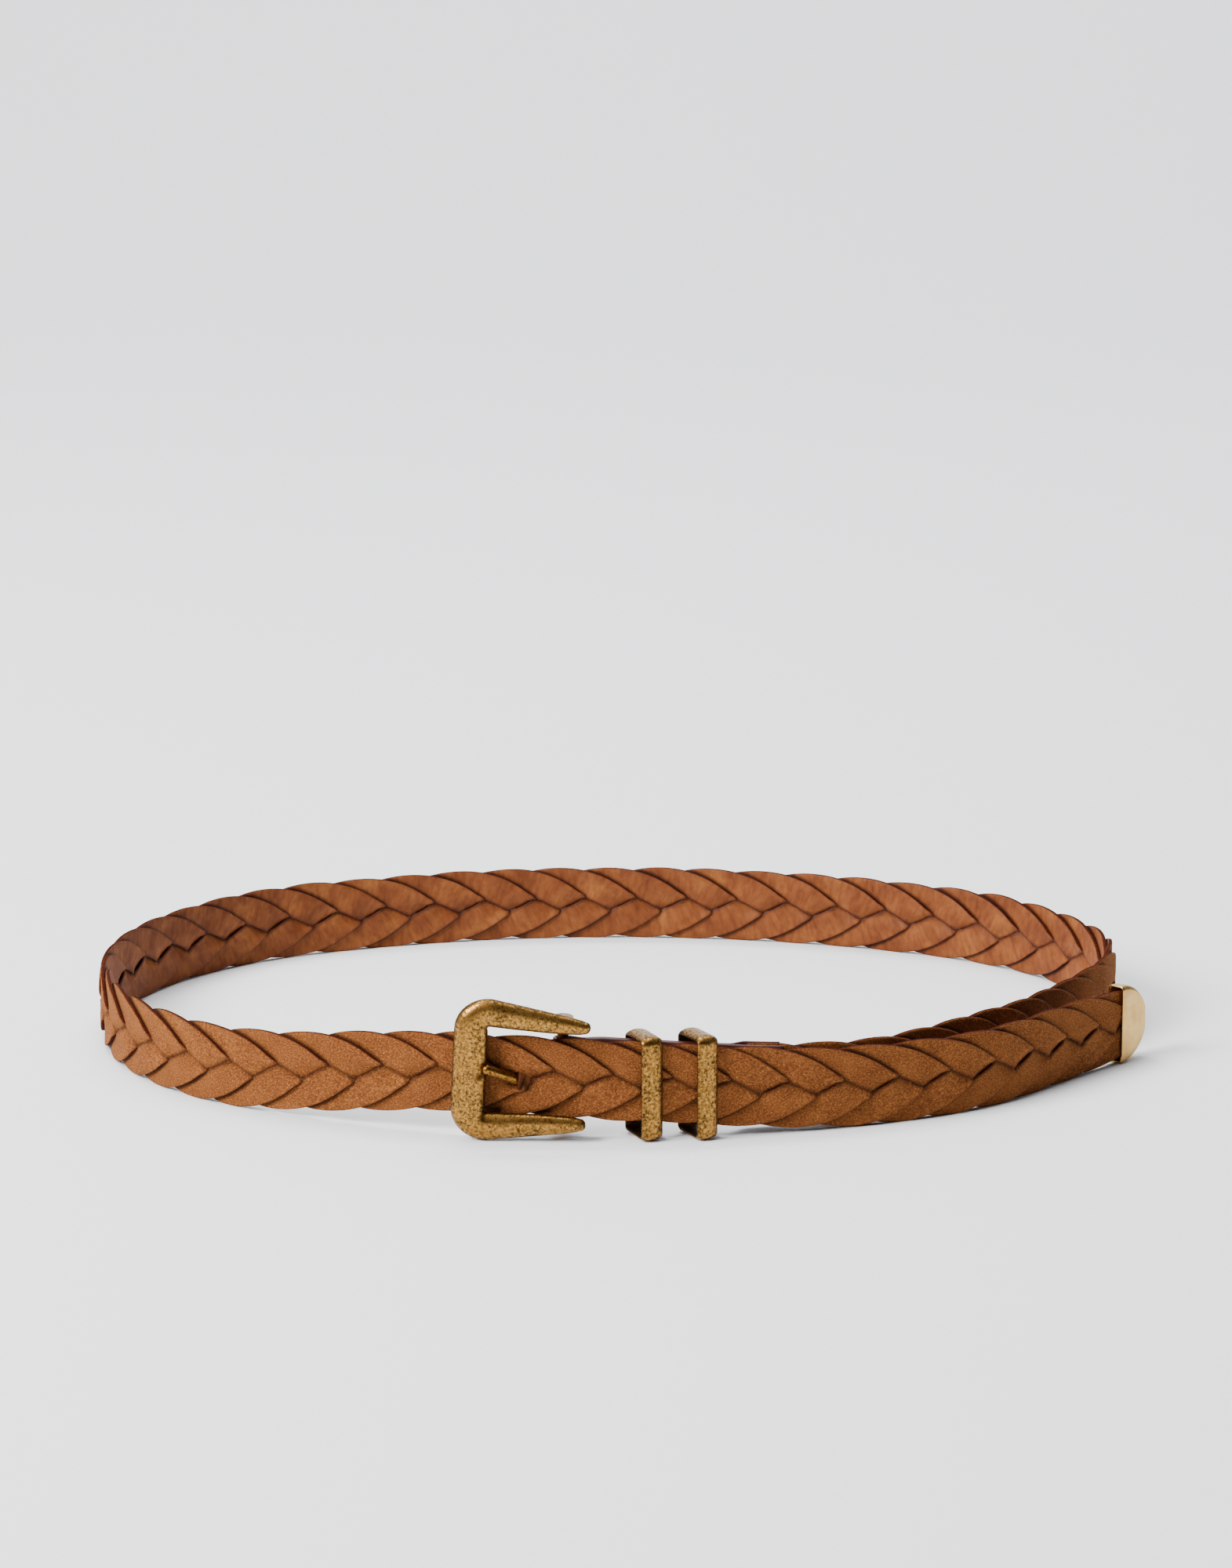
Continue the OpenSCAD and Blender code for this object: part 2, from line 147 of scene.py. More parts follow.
def suedeNap():
    # split leather, buffed: matt, napped, lighter where the nap lies away and soft at the edges
    m, t, s = newMaterial("suedeNappedCowSplit", 0.95, IOR=1.45, Sheen_Weight=0.22,
                          Sheen_Roughness=0.5, Specular_IOR_Level=0.15)
    s.inputs["Sheen Tint"].default_value = linearColour("#c98a56")
    place = attributeOf(t, "strandPlace", "Vector")
    stretch = addNode(t, "ShaderNodeMapping", {"in:Scale": (0.75, 1, 1)}, {"Vector": place})
    grain = noiseOf(t, 0.42, stretch.outputs["Vector"], 4, 0.72)
    blotch = noiseOf(t, 7, place, 3, 0.6)
    base = rampOf(t, blotch, ((0.28, "#5f3012"), (0.5, "#74421d"), (0.74, "#895226")))
    fibres = rampOf(t, grain, ((0.37, "#2f160a"), (0.52, "#7b4620"), (0.67, "#b97c45")))
    napped = mixOf(t, "MIX", 0.58, base, fibres)
    # 5e4a40 is the painted shade's colour beside a covering strand, #4f2210 the cut edge's red
    strandTone(t, s, napped, "#5e4a40", "#4f2210")
    bumpOf(t, s, grain, 0.35, 0.9)
    return m


def grainSide():
    # the grain side of the same hide, waxed and rolled: smooth, with a soft shine and faint creases
    m, t, s = newMaterial("waxedGrainSideLeather", 0.62, IOR=1.45, Specular_IOR_Level=0.22)
    place = attributeOf(t, "strandPlace", "Vector")
    stretch = addNode(t, "ShaderNodeMapping", {"in:Scale": (1, 0.3, 1)}, {"Vector": place})
    crease = noiseOf(t, 1.6, stretch.outputs["Vector"], 4, 0.6)
    pores = noiseOf(t, 0.4, place, 2)
    blotch = noiseOf(t, 9, place, 3)
    base = rampOf(t, blotch, ((0.3, "#6a3616"), (0.55, "#7d451f"), (0.75, "#8f5628")))
    creased = mixOf(t, "MULTIPLY", 0.5, base, rampOf(t, crease, ((0.35, "#a88062"), (0.6, "#ffffff"))))
    # 6a4a3c is the painted shade's colour beside a covering strand, #45180b the cut edge's red
    strandTone(t, s, creased, "#6a4a3c", "#45180b")
    rough = addNode(t, "ShaderNodeMapRange", {"in:To Min": 0.72, "in:To Max": 0.56}, {"Value": crease})
    t.links.new(rough.outputs["Result"], s.inputs["Roughness"])
    first = bumpOf(t, s, crease, 0.25, 0.5)
    bumpOf(t, s, pores, 0.05, 0.5, first)
    return m


def cutEdge():
    # the cut edge of dyed leather: dark red brown and fibrous
    m, t, s = newMaterial("dyedCutLeatherEdge", 0.95, IOR=1.45, Specular_IOR_Level=0.06)
    place = attributeOf(t, "strandPlace", "Vector")
    fibre = noiseOf(t, 0.5, place, 3)
    t.links.new(rampOf(t, fibre, ((0.3, "#2c0f07"), (0.7, "#4c1f10"))), s.inputs["Base Color"])
    bumpOf(t, s, fibre, 0.2, 0.8)
    return m


def chapeLeather():
    # plain bridle leather, dyed through: dark red brown, smooth, with a fine pebble
    m, t, s = newMaterial("bridleLeatherDyedBurgundy", 0.48, IOR=1.48)
    co = objectPlace(t)
    pebble = addNode(t, "ShaderNodeTexVoronoi", {"in:Scale": 1 / (0.7 * mm)}, {"Vector": co})
    tone = noiseOf(t, 8, co, 3)
    t.links.new(rampOf(t, tone, ((0.3, "#35120f"), (0.7, "#54211b"))), s.inputs["Base Color"])
    bumpOf(t, s, pebble.outputs["Distance"], 0.06, 0.6)
    return m


def waxedThread():
    # waxed linen thread: low sheen, lighter than the leather it holds
    m, t, s = newMaterial("waxedLinenThread", 0.6, IOR=1.5, Sheen_Weight=0.3)
    co = objectPlace(t)
    ply = addNode(t, "ShaderNodeTexWave",
                  {"in:Scale": 1 / (1.2 * mm), "in:Distortion": 1.0}, {"Vector": co}).outputs["Fac"]
    t.links.new(rampOf(t, ply, ((0.2, "#5d3320"), (0.8, "#8f5a38"))), s.inputs["Base Color"])
    bumpOf(t, s, ply, 0.08, 0.7)
    return m


def antiqueBrass(name, light, dark, cover, roughness):
    # plated brass, darkened in a patina bath and tumbled: dark specks stay in the pits and hollows
    m, t, s = newMaterial(name, roughness, 1.0)
    co = objectPlace(t)
    specks = noiseOf(t, 0.9, co, 6, 0.75)
    cloud = noiseOf(t, 5, co, 3)
    lifted = mathOf(t, "MULTIPLY_ADD", attributeOf(t, "hollow"), 0.35, specks)
    cloudy = mathOf(t, "MULTIPLY_ADD", cloud, 0.3, lifted)
    mask = addNode(t, "ShaderNodeMapRange",
                   {"in:From Min": cover, "in:From Max": cover + 0.22, "in:To Max": 0.9},
                   {"Value": cloudy}).outputs["Result"]
    tint = rampOf(t, cloud, ((0.3, light[0]), (0.7, light[1])))
    t.links.new(mixOf(t, "MIX", mask, tint, linearColour(dark)), s.inputs["Base Color"])
    rough = addNode(t, "ShaderNodeMapRange",
                    {"in:To Min": roughness, "in:To Max": roughness + 0.3}, {"Value": mask})
    t.links.new(rough.outputs["Result"], s.inputs["Roughness"])
    dents = bumpOf(t, s, noiseOf(t, 2.4, co, 2), 0.12, 0.35)
    bumpOf(t, s, specks, 0.03, 0.5, dents)
    return m


# where the belt runs

route = {
    "halfLength": 166, "frontDepth": 122, "backDepth": 118, "endRadius": 104,
    "strapWidth": 25, "freeEnd": 188,
    "braidThickness": 3.3, "fixedEnd": -5.15, "innerSpread": 18.5,
    "tailDip": 4.5, "tailFlare": 13, "buckleLift": 6.9,
    "tipLength": 13.6, "tipThickness": 6.2, "barOut": 7.2,
    # where a change starts along the strap, and the run it takes
    "spreadIn": (60, 85), "spreadOut": (170, 95), "dip": (105, 50), "flare": (155, 50),
    "liftFall": (-30, 125), "liftRise": (-135, 90), "bend": (40, 66),
}
endX = route["halfLength"] - route["endRadius"]


def flatRadius(depth):
    return (depth ** 2 + endX ** 2 - route["endRadius"] ** 2) / (2 * (depth - route["endRadius"]))


frontRadius, backRadius = flatRadius(route["frontDepth"]), flatRadius(route["backDepth"])
frontTurn = math.atan2(endX, frontRadius - route["frontDepth"])
backTurn = math.atan2(endX, backRadius - route["backDepth"])
endTurn = math.pi - frontTurn - backTurn
sRight = frontRadius * frontTurn
sBack = sRight + route["endRadius"] * endTurn
sLeft = sBack + 2 * backRadius * backTurn
sFront = sLeft + route["endRadius"] * endTurn
loopLength = sFront + sRight


def ovalAt(s):
    # heading, centre and radius of the arc at each place s along the strap
    w = np.mod(s, loopLength)
    spans = [w < sRight, w < sBack, w < sLeft, w < sFront]
    end = route["endRadius"]
    heading = np.select(spans, [
        w / frontRadius, frontTurn + (w - sRight) / end,
        math.pi - backTurn + (w - sBack) / backRadius,
        math.pi + backTurn + (w - sLeft) / end],
        2 * math.pi - frontTurn + (w - sFront) / frontRadius)
    flat = frontRadius - route["frontDepth"]
    centreX = np.select(spans, [0 * w, endX + 0 * w, 0 * w, -endX + 0 * w], 0.0)
    centreY = np.select(spans, [flat + 0 * w, 0 * w, route["backDepth"] - backRadius + 0 * w, 0 * w], flat)
    radius = np.select(
        spans, [frontRadius + 0 * w, end + 0 * w, backRadius + 0 * w, end + 0 * w], frontRadius)
    return heading, centreX, centreY, radius


def smooth(t):
    c = np.clip(t, 0, 1)
    return c * c * (3 - 2 * c)


def change(s, name):
    start, run = route[name]
    return smooth((s - start) / run)


def strapOffset(s):
    # inwards from the oval next to the free end, outwards at its tip
    fixed, spread = route["fixedEnd"], route["innerSpread"]
    inner = fixed - (spread + fixed) * change(s, "spreadIn") + spread * change(s, "spreadOut")
    q = s - loopLength
    flareStart, flareRun = route["flare"]
    outer = -route["tailDip"] * change(q, "dip")
    outer = outer + route["tailFlare"] * (np.maximum(q - flareStart, 0) / flareRun) ** 2
    return np.where(s < loopLength / 2, inner, outer)


def lift(s):
    q = np.where(s < loopLength / 2, s, s - loopLength)
    return route["buckleLift"] * (1 - change(q, "liftFall")) * change(q, "liftRise")


def flatPoint(s, n):
    heading, cx, cy, radius = ovalAt(np.asarray(s, float))
    return cx + (radius + n) * np.sin(heading), cy - (radius + n) * np.cos(heading)


def strapHeading(s):
    xs, ys = flatPoint(np.array([s - 0.5, s + 0.5]), strapOffset(np.array([s - 0.5, s + 0.5])))
    return math.atan2(ys[1] - ys[0], xs[1] - xs[0])


tipAt = loopLength + route["freeEnd"]
mouthX, mouthY = flatPoint(tipAt, strapOffset(np.array(tipAt)))
tipHeading = strapHeading(tipAt)
halfBraid = route["braidThickness"] / 2
shiftX = -(float(mouthX) + route["tipLength"] * math.cos(tipHeading)
           + route["tipThickness"] / 2 * math.sin(tipHeading) - route["halfLength"] - halfBraid) / 2
shiftY = (route["frontDepth"] + route["barOut"] - route["backDepth"] - halfBraid) / 2


def onBelt(s, v, n):
    # s along the strap, v up from its middle line, n outwards from the oval, all in mm
    x, y = flatPoint(s, n)
    return np.stack([x + shiftX, y + shiftY, route["strapWidth"] / 2 + lift(s) + v + 0 * x], axis=-1)


def turnedTo(heading, x, y, z, points):
    p = np.asarray(points, float)
    c, d = math.cos(heading), math.sin(heading)
    return np.stack([x + shiftX + p[..., 0] * c - p[..., 1] * d,
                     y + shiftY + p[..., 0] * d + p[..., 1] * c, z + p[..., 2]], axis=-1)


def fromLocal(s, height, points):
    # points in a straight frame at s: x along the strap, y inwards, z up
    x, y = flatPoint(s, 0)
    return turnedTo(float(ovalAt(np.asarray(s, float))[0]), x, y, height, points)


# mesh helpers

def gridFaces(rows, columns, wrapRows=False, wrapColumns=True):
    i = np.arange(rows if wrapRows else rows - 1)[:, None]
    j = np.arange(columns if wrapColumns else columns - 1)[None, :]
    nextI, nextJ = (i + 1) % rows, (j + 1) % columns
    return np.stack([i * columns + j + 0 * nextI, i * columns + nextJ + 0 * nextI,
                     nextI * columns + nextJ, nextI * columns + j + 0 * nextJ], axis=-1).reshape(-1, 4)


def newPiece(name, points, faces, materials, attributes=None, faceSlots=None):
    # points in mm; attributes are name to one number or one vector a point
    mesh = bpy.data.meshes.new(name)
    mesh.from_pydata((np.asarray(points) * mm).tolist(), [], [list(f) for f in faces])
    mesh.validate()
    mesh.polygons.foreach_set("use_smooth", [True] * len(mesh.polygons))
    for key, values in (attributes or {}).items():
        flat = np.ascontiguousarray(values, np.float32)
        kind = "FLOAT_VECTOR" if flat.ndim == 2 else "FLOAT"
        layer = mesh.attributes.new(key, kind, "POINT")
        layer.data.foreach_set("vector" if flat.ndim == 2 else "value", flat.ravel())
    for material in materials:
        mesh.materials.append(material)
    if faceSlots is not None:
        mesh.polygons.foreach_set("material_index", np.asarray(faceSlots, np.int32))
    piece = bpy.data.objects.new(name, mesh)
    bpy.context.scene.collection.objects.link(piece)
    return piece


def sweptPiece(name, rings, materials, attributes=None, ringSlots=None, closed=False):
    # rings is rows x columns x 3; open sweeps get a flat cap at both ends
    rings = np.asarray(rings)
    rows, columns = rings.shape[:2]
    faces = [tuple(f) for f in gridFaces(rows, columns, wrapRows=closed)]
    slots = None if ringSlots is None else list(np.tile(ringSlots, rows if closed else rows - 1))
    if not closed:
        faces.append(tuple(range(columns))[::-1])
        faces.append(tuple((rows - 1) * columns + j for j in range(columns)))
        if slots is not None:
            slots += [ringSlots[-1]] * 2
    return newPiece(name, rings.reshape(-1, 3), faces, materials, attributes, slots)


def roundCorners(count):
    # which side each of four corners is on, and the cosine and sine of the points round it
    sides = ((1, 1, 0), (-1, 1, 90), (-1, -1, 180), (1, -1, 270))
    return [(cx, cy, math.cos(a), math.sin(a)) for cx, cy, start in sides
            for a in np.radians(np.linspace(start, start + 90, count))]


def between(here, after, shares):
    return [tuple(np.array(here) * (1 - t) + np.array(after) * t) for t in shares]


# the braid

braid = {
    "pitch": 17.8,           # between two scallops along an edge
    "strandWidth": 9.3,
    "strandThickness": 1.45,
    "phaseStart": 20,        # degrees, sets where the scallops fall
    "crossSoft": 1.7,        # lower makes a strand hug the edges longer and cross more steeply
    "ringStep": 0.75,        # mm between two rings of a strand
    "weaveSteps": 180,       # points along one full swing of a strand in the weave table
    "settleRounds": 260,
    "tipNarrowing": 1.2,
    "startAt": 42.0,         # where the strands start, between the two plies of the chape
    "seamAt": 28.0,          # main and free-end strands meet under the second keeper's face
    "tipInsert": 3.6,
    "rimDark": 0.5,
    # the reach below is that of the painted shade in the gaps beside a covering strand
    "paintedShadeReach": 1.5,         # mm over which the nap darkens towards the strand that covers it
    "wobble": 0.22,          # mm of hand-braided unevenness
    "seed": 11,
}
strandCount = 5
period = strandCount * braid["pitch"]
# across a strand from one edge to the other, and how thick it is there
halfShare = [0, 0.1, 0.2, 0.31, 0.43, 0.55, 0.67, 0.78, 0.88, 0.955, 1]
acrossShare = np.array([-c for c in halfShare[:0:-1]] + halfShare)
thickShare = 1 - 0.3 * np.clip((np.abs(acrossShare) - 0.86) / 0.14, 0, 1) ** 2.5


def swingAt(s):
    full = (route["strapWidth"] - braid["strandWidth"]) / 2
    return full - braid["tipNarrowing"] * smooth((s - tipAt + 20) / 20)


def toSide(phase):
    # +1 and -1 at the two edges of the strap
    soft = braid["crossSoft"]
    return np.cos(phase) * np.sqrt((1 + soft) / (np.cos(phase) ** 2 + soft))


def sideSlope(phase):
    soft = braid["crossSoft"]
    turn = -np.sin(phase) * soft * math.sqrt(1 + soft) / (np.cos(phase) ** 2 + soft) ** 1.5
    return turn * 2 * math.pi / period


def settleWeave():
    # one strand's height through the braid, settled so that each crossing has room for both
    # strands: the strand that is over stays over, and bending keeps the surface fair. Also how
    # near each point of its two faces is to the strand that covers it, for the painted shade in the gaps
    count, half = braid["weaveSteps"], braid["strandWidth"] / 2
    swing = (route["strapWidth"] - braid["strandWidth"]) / 2
    phase = 2 * math.pi * np.arange(count) / count
    s = period * np.arange(count) / count
    v = swing * toSide(phase)
    slope = swing * sideSlope(phase)
    long = np.sqrt(1 + slope ** 2)
    side = np.stack([-slope / long, 1 / long], -1)
    w = acrossShare * half
    spot = np.stack([s, v], -1)[:, None, :] + side[:, None, :] * w[None, :, None]
    contacts = []
    outerGap, innerGap = np.full(spot.shape[:2], 9.0), np.full(spot.shape[:2], 9.0)
    for other in range(1, strandCount):
        shiftS = other * braid["pitch"]
        centres = np.stack([s + shiftS, v], -1)
        gap = spot[:, :, None, :] - centres[None, None, :, :]
        gap[..., 0] = (gap[..., 0] + period / 2) % period - period / 2
        away = (gap ** 2).sum(-1)
        nearest = away.argmin(-1)
        rows, cols = np.indices(nearest.shape)
        chosen = gap[rows, cols, nearest]
        offset = (chosen * side[nearest]).sum(-1)
        inside = np.abs(offset) < half * 0.99
        crossing = np.radians(36 * other)
        turn = (phase[:, None] - crossing + math.pi / 2) % math.pi - math.pi / 2
        nearPhase = phase[:, None] - turn
        sign = np.sign(np.sin(2 * nearPhase))
        column = np.interp(offset, w, np.arange(len(w)))
        apart = np.maximum(np.sqrt(away.min(-1)) - half, 0)
        sign = np.broadcast_to(sign, apart.shape)
        outerGap = np.where(sign < 0, np.minimum(outerGap, apart), outerGap)
        innerGap = np.where(sign > 0, np.minimum(innerGap, apart), innerGap)
        contacts.append((inside, nearest, column, np.broadcast_to(sign, inside.shape)))
    height = 0.6 * np.sin(2 * phase)[:, None] * np.ones(len(w))[None, :]
    thick = braid["strandThickness"] * thickShare
    for _ in range(braid["settleRounds"]):
        along = (np.roll(height, 1, 0) + np.roll(height, -1, 0)) / 2
        along = 0.5 * along + 0.25 * (np.roll(along, 2, 0) + np.roll(along, -2, 0))
        acrossFit = height.mean(1, keepdims=True) + np.outer(
            (height * w).sum(1) / (w ** 2).sum(), w)
        height = 0.55 * along + 0.45 * (0.6 * acrossFit + 0.4 * height)
        height *= 0.995
        push, weight = np.zeros_like(height), np.zeros_like(height)
        for inside, nearest, column, sign in contacts:
            low = np.clip(column.astype(int), 0, len(w) - 2)
            part = column - low
            theirs = height[nearest, low] * (1 - part) + height[nearest, low + 1] * part
            theirThick = thick[low] * (1 - part) + thick[low + 1] * part
            need = (thick[None, :] + theirThick) / 2
            short = np.where(inside, np.maximum(need - sign * (height - theirs), 0), 0) * sign / 2
            push += short
            weight += np.where(short != 0, 1, 0)
            for theirs, share in ((low, 1 - part), (low + 1, part)):
                np.add.at(push, (nearest, theirs), -short * share)
                np.add.at(weight, (nearest, theirs), np.where(short != 0, share, 0))
        height += push / np.maximum(weight, 1)
    return height, outerGap, innerGap


weaveHeight, outerGap, innerGap = settleWeave()
print("weave settled, half thickness %.2f mm" % (np.abs(weaveHeight).max() + braid["strandThickness"] / 2))


def wobbleAt(s, rng, size):
    # a slow unevenness along the strap, the same each run
    total = 0 * s
    for reach in (160, 71, 33):
        total = total + rng.uniform(0.4, 1) * np.sin(2 * math.pi * s / reach + rng.uniform(0, 6.28))
    return total * size / 2


def fromTable(table, phase):
    row = np.mod(phase / (2 * math.pi), 1) * braid["weaveSteps"]
    low = row.astype(int) % braid["weaveSteps"]
    part = (row - np.floor(row))[:, None]
    return table[low] * (1 - part) + table[(low + 1) % braid["weaveSteps"]] * part


def strandSurface(k, start, end):
    # the strand's middle surface: rows along it and columns across it, and where each row is
    rng = np.random.default_rng(braid["seed"] + k)
    drift = np.random.default_rng(braid["seed"] + k)
    widen = rng.uniform(-0.02, 0.03)
    count = int(math.ceil((end - start) / braid["ringStep"])) + 1
    s = np.linspace(start, end, count)
    phase = 2 * math.pi * s / period + math.radians(braid["phaseStart"]) - 2 * math.pi / strandCount * k
    swing = swingAt(s)
    v = swing * toSide(phase) + wobbleAt(s, drift, braid["wobble"])
    slope = swing * sideSlope(phase)
    long = np.sqrt(1 + slope ** 2)
    w = acrossShare * braid["strandWidth"] / 2 * (1 + widen)
    n = fromTable(weaveHeight, phase)
    sAll = s[:, None] + (-slope / long)[:, None] * w
    vAll = v[:, None] + (1 / long)[:, None] * w
    middle = onBelt(sAll, vAll, strapOffset(sAll) + n)
    return middle, s, w, phase


def strandRings(middle):
    # the middle surface given its thickness, as closed rings: outer face, then inner face
    alongS = np.gradient(middle, axis=0)
    acrossW = np.gradient(middle, axis=1)
    normal = np.cross(alongS, acrossW)
    normal /= np.linalg.norm(normal, axis=-1, keepdims=True)
    half = braid["strandThickness"] / 2 * thickShare[None, :, None]
    outer, inner = middle + normal * half, middle - normal * half
    return np.concatenate([outer, inner[:, ::-1]], axis=1), normal


def makeStrand(name, k, start, end, materials):
    middle, s, w, phase = strandSurface(k, start, end)
    rings, normal = strandRings(middle)
    rings = partAround(rings)
    columns = rings.shape[1]
    half = columns // 2
    # the outward side is the one that faces away from the oval's middle
    ringSlots = [0] * (half - 1) + [2] + [1] * (half - 1) + [2]
    across = np.concatenate([w, w[::-1]])
    place = np.stack([np.broadcast_to(s[:, None], rings.shape[:2]),
                      np.broadcast_to(across[None, :], rings.shape[:2]),
                      np.full(rings.shape[:2], 37.0 * k)], -1) * mm
    edge = np.abs(np.concatenate([acrossShare, acrossShare[::-1]]))
    rim = smooth((edge - 0.93) / 0.07) * braid["rimDark"]
    # painted shade: darker in the gap beside the strand that covers this one
    outerShade = smooth((fromTable(outerGap, phase) + 0.1) / braid["paintedShadeReach"])
    innerShade = smooth((fromTable(innerGap, phase) + 0.1) / braid["paintedShadeReach"])[:, ::-1]
    attributes = {
        "strandPlace": place.reshape(-1, 3),
        "rim": np.broadcast_to(rim[None, :], rings.shape[:2]).ravel(),
        "shade": np.concatenate([outerShade, innerShade], 1).ravel(),
    }
    return sweptPiece(name, rings, materials, attributes, ringSlots)


# the buckle's straight frame

buckle = {
    "height": 45, "length": 32.3, "barWidth": 10.3, "barThickness": 6, "armPastHeel": 7.5,
    "armTip": 3.6, "armRoot": 4.3, "cornerRadius": 5.6, "armTipUp": 15.2, "heelAt": -17, "roll": 3,
    "heelOut": -5.35, "barN": 4.2, "armN": 4.55, "heelRadius": 1.75, "squareness": 2.15,
    "lugInner": 13.2, "lugHeight": 2.8, "lugHalf": 2.9, "lugRound": 2.8,
}
barX = -(buckle["length"] - buckle["barWidth"] / 2)
heelHeight = buckle["height"] / 2 + barX * math.sin(math.radians(buckle["roll"]))
strapDrop = heelHeight - route["strapWidth"] / 2 - float(lift(np.array(float(buckle["heelAt"]))))
lugLow = -buckle["lugInner"] - strapDrop - buckle["lugHeight"]
lugTop = buckle["lugInner"] + buckle["lugHeight"]


def fromHeel(points):
    # points round the heel bar: x along the strap, y outwards, z up the bar, leaning with the buckle
    p = np.asarray(points, float)
    roll = math.radians(buckle["roll"])
    x = p[..., 0] * math.cos(roll) + p[..., 2] * math.sin(roll)
    z = -p[..., 0] * math.sin(roll) + p[..., 2] * math.cos(roll)
    return fromLocal(buckle["heelAt"], heelHeight, np.stack([x, -p[..., 1] - buckle["heelOut"], z], -1))


prong = {
    "low": -8.8, "tipX": -21.7, "tipOut": 10.55, "tipUp": 0.2, "rootRadius": 1.95,
    "tipRadius": 1.6, "pastTip": 1.6, "notchDepth": 0.9,
    "loopRadius": 3.05, "loopHeight": 5, "partRadius": 2.1, "partReach": 3.0,
    "partSwings": (0, 5.5, 11),
}
prongLow = fromHeel([0, 0, prong["low"]])


def prongEnd(swing):
    # the prong's tip once it and the frame have swung outwards by so many degrees
    turn = math.radians(-swing)
    x, y = prong["tipX"], prong["tipOut"]
    return fromHeel([x * math.cos(turn) - y * math.sin(turn),
                     x * math.sin(turn) + y * math.cos(turn), prong["tipUp"]])


def partAround(rings):
    # the strands part where the prong comes through and over its whole swing: points near the
    # prong's line at each of these turns move off it
    for swing in prong["partSwings"]:
        axis = prongEnd(swing) - prongLow
        reach = np.linalg.norm(axis)
        axis = axis / reach
        gap = rings - prongLow
        run = (gap * axis).sum(-1)
        off = gap - run[..., None] * axis
        far = np.linalg.norm(off, axis=-1)
        power = prong["partReach"]
        pushed = (far ** power + prong["partRadius"] ** power) ** (1 / power)
        near = (run > 2) & (run < reach + 2) & (far < 9)
        move = np.where(near, (pushed - far) * (1 - smooth((far - 5) / 4)), 0)
        rings = rings + off / np.maximum(far, 1e-6)[..., None] * move[..., None]
    return rings


# materials of this belt

strandMaterials = [suedeNap(), grainSide(), cutEdge()]
burgundy, thread = chapeLeather(), waxedThread()
castBrass = antiqueBrass("antiqueCastBrass", ("#9a6d33", "#c09049"), "#221308", 0.55, 0.24)
turnedBrass = antiqueBrass("turnedBrassWorn", ("#80561f", "#a27232"), "#22130a", 0.58, 0.26)
satinBrass = antiqueBrass("satinLightBrass", ("#b38d50", "#cba766"), "#4a3418", 0.98, 0.26)


def outfit(piece, body, slotName, *replaced):
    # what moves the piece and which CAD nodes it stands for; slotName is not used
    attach(piece, body)
    if replaced:
        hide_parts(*replaced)
    return piece


# strands

seam = loopLength + braid["seamAt"]
bendFrom, bendTo = (onBelt(loopLength + at, 0, halfBraid) for at in route["bend"])


def bendWith(piece, slotName, *replaced):
    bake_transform(piece)
    if replaced:
        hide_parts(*replaced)
    return piece


mainStrands, tailStrands = [], []
for k in range(strandCount):
    name = "braidStrand%d" % (k + 1)
    piece = makeStrand(name, k, braid["startAt"], seam, strandMaterials)
    mainStrands.append(outfit(piece, "strap", "suede", "strand_%d" % (k + 1)))
    piece = makeStrand(name + "FreeEnd", k, seam, tipAt + braid["tipInsert"], strandMaterials)
    tailStrands.append(bendWith(piece, "suede", "tail_strand_%d" % (k + 1)))
print("strands made")


# buckle frame, cast in one with its lugs

frameLook = {"rings": 26, "columns": 30}
armMidRoot = buckle["height"] / 2 - buckle["armRoot"] - 0.4


def frameHalf():
    # the frame's upper half as x along, z up, y out from the heel bar, half width, half depth
    b = buckle
    t = np.linspace(0, 1, frameLook["rings"])
    arm = np.stack([
        b["armPastHeel"] + (barX + b["cornerRadius"] - b["armPastHeel"]) * t,
        b["armTipUp"] + (armMidRoot - b["armTipUp"]) * t ** 1.15,
        b["armN"] + (b["barN"] - b["armN"]) * smooth(t) - b["heelOut"],
        b["armTip"] / 2 + (b["armRoot"] - b["armTip"] / 2) * t ** 0.6,
        b["armTip"] / 2 + (b["barThickness"] / 2 - 0.5 - b["armTip"] / 2) * smooth(t)], -1)
    t = np.linspace(0, 1, 13)[1:]
    corner = np.stack([
        barX + b["cornerRadius"] * (1 - np.sin(t * math.pi / 2)),
        armMidRoot - b["cornerRadius"] * (1 - np.cos(t * math.pi / 2)),
        b["barN"] - b["heelOut"] + 0 * t,
        b["armRoot"] + (b["barWidth"] / 2 - b["armRoot"]) * smooth(t),
        b["barThickness"] / 2 - 0.5 + 0.5 * smooth(t)], -1)
    return np.concatenate([arm, corner])


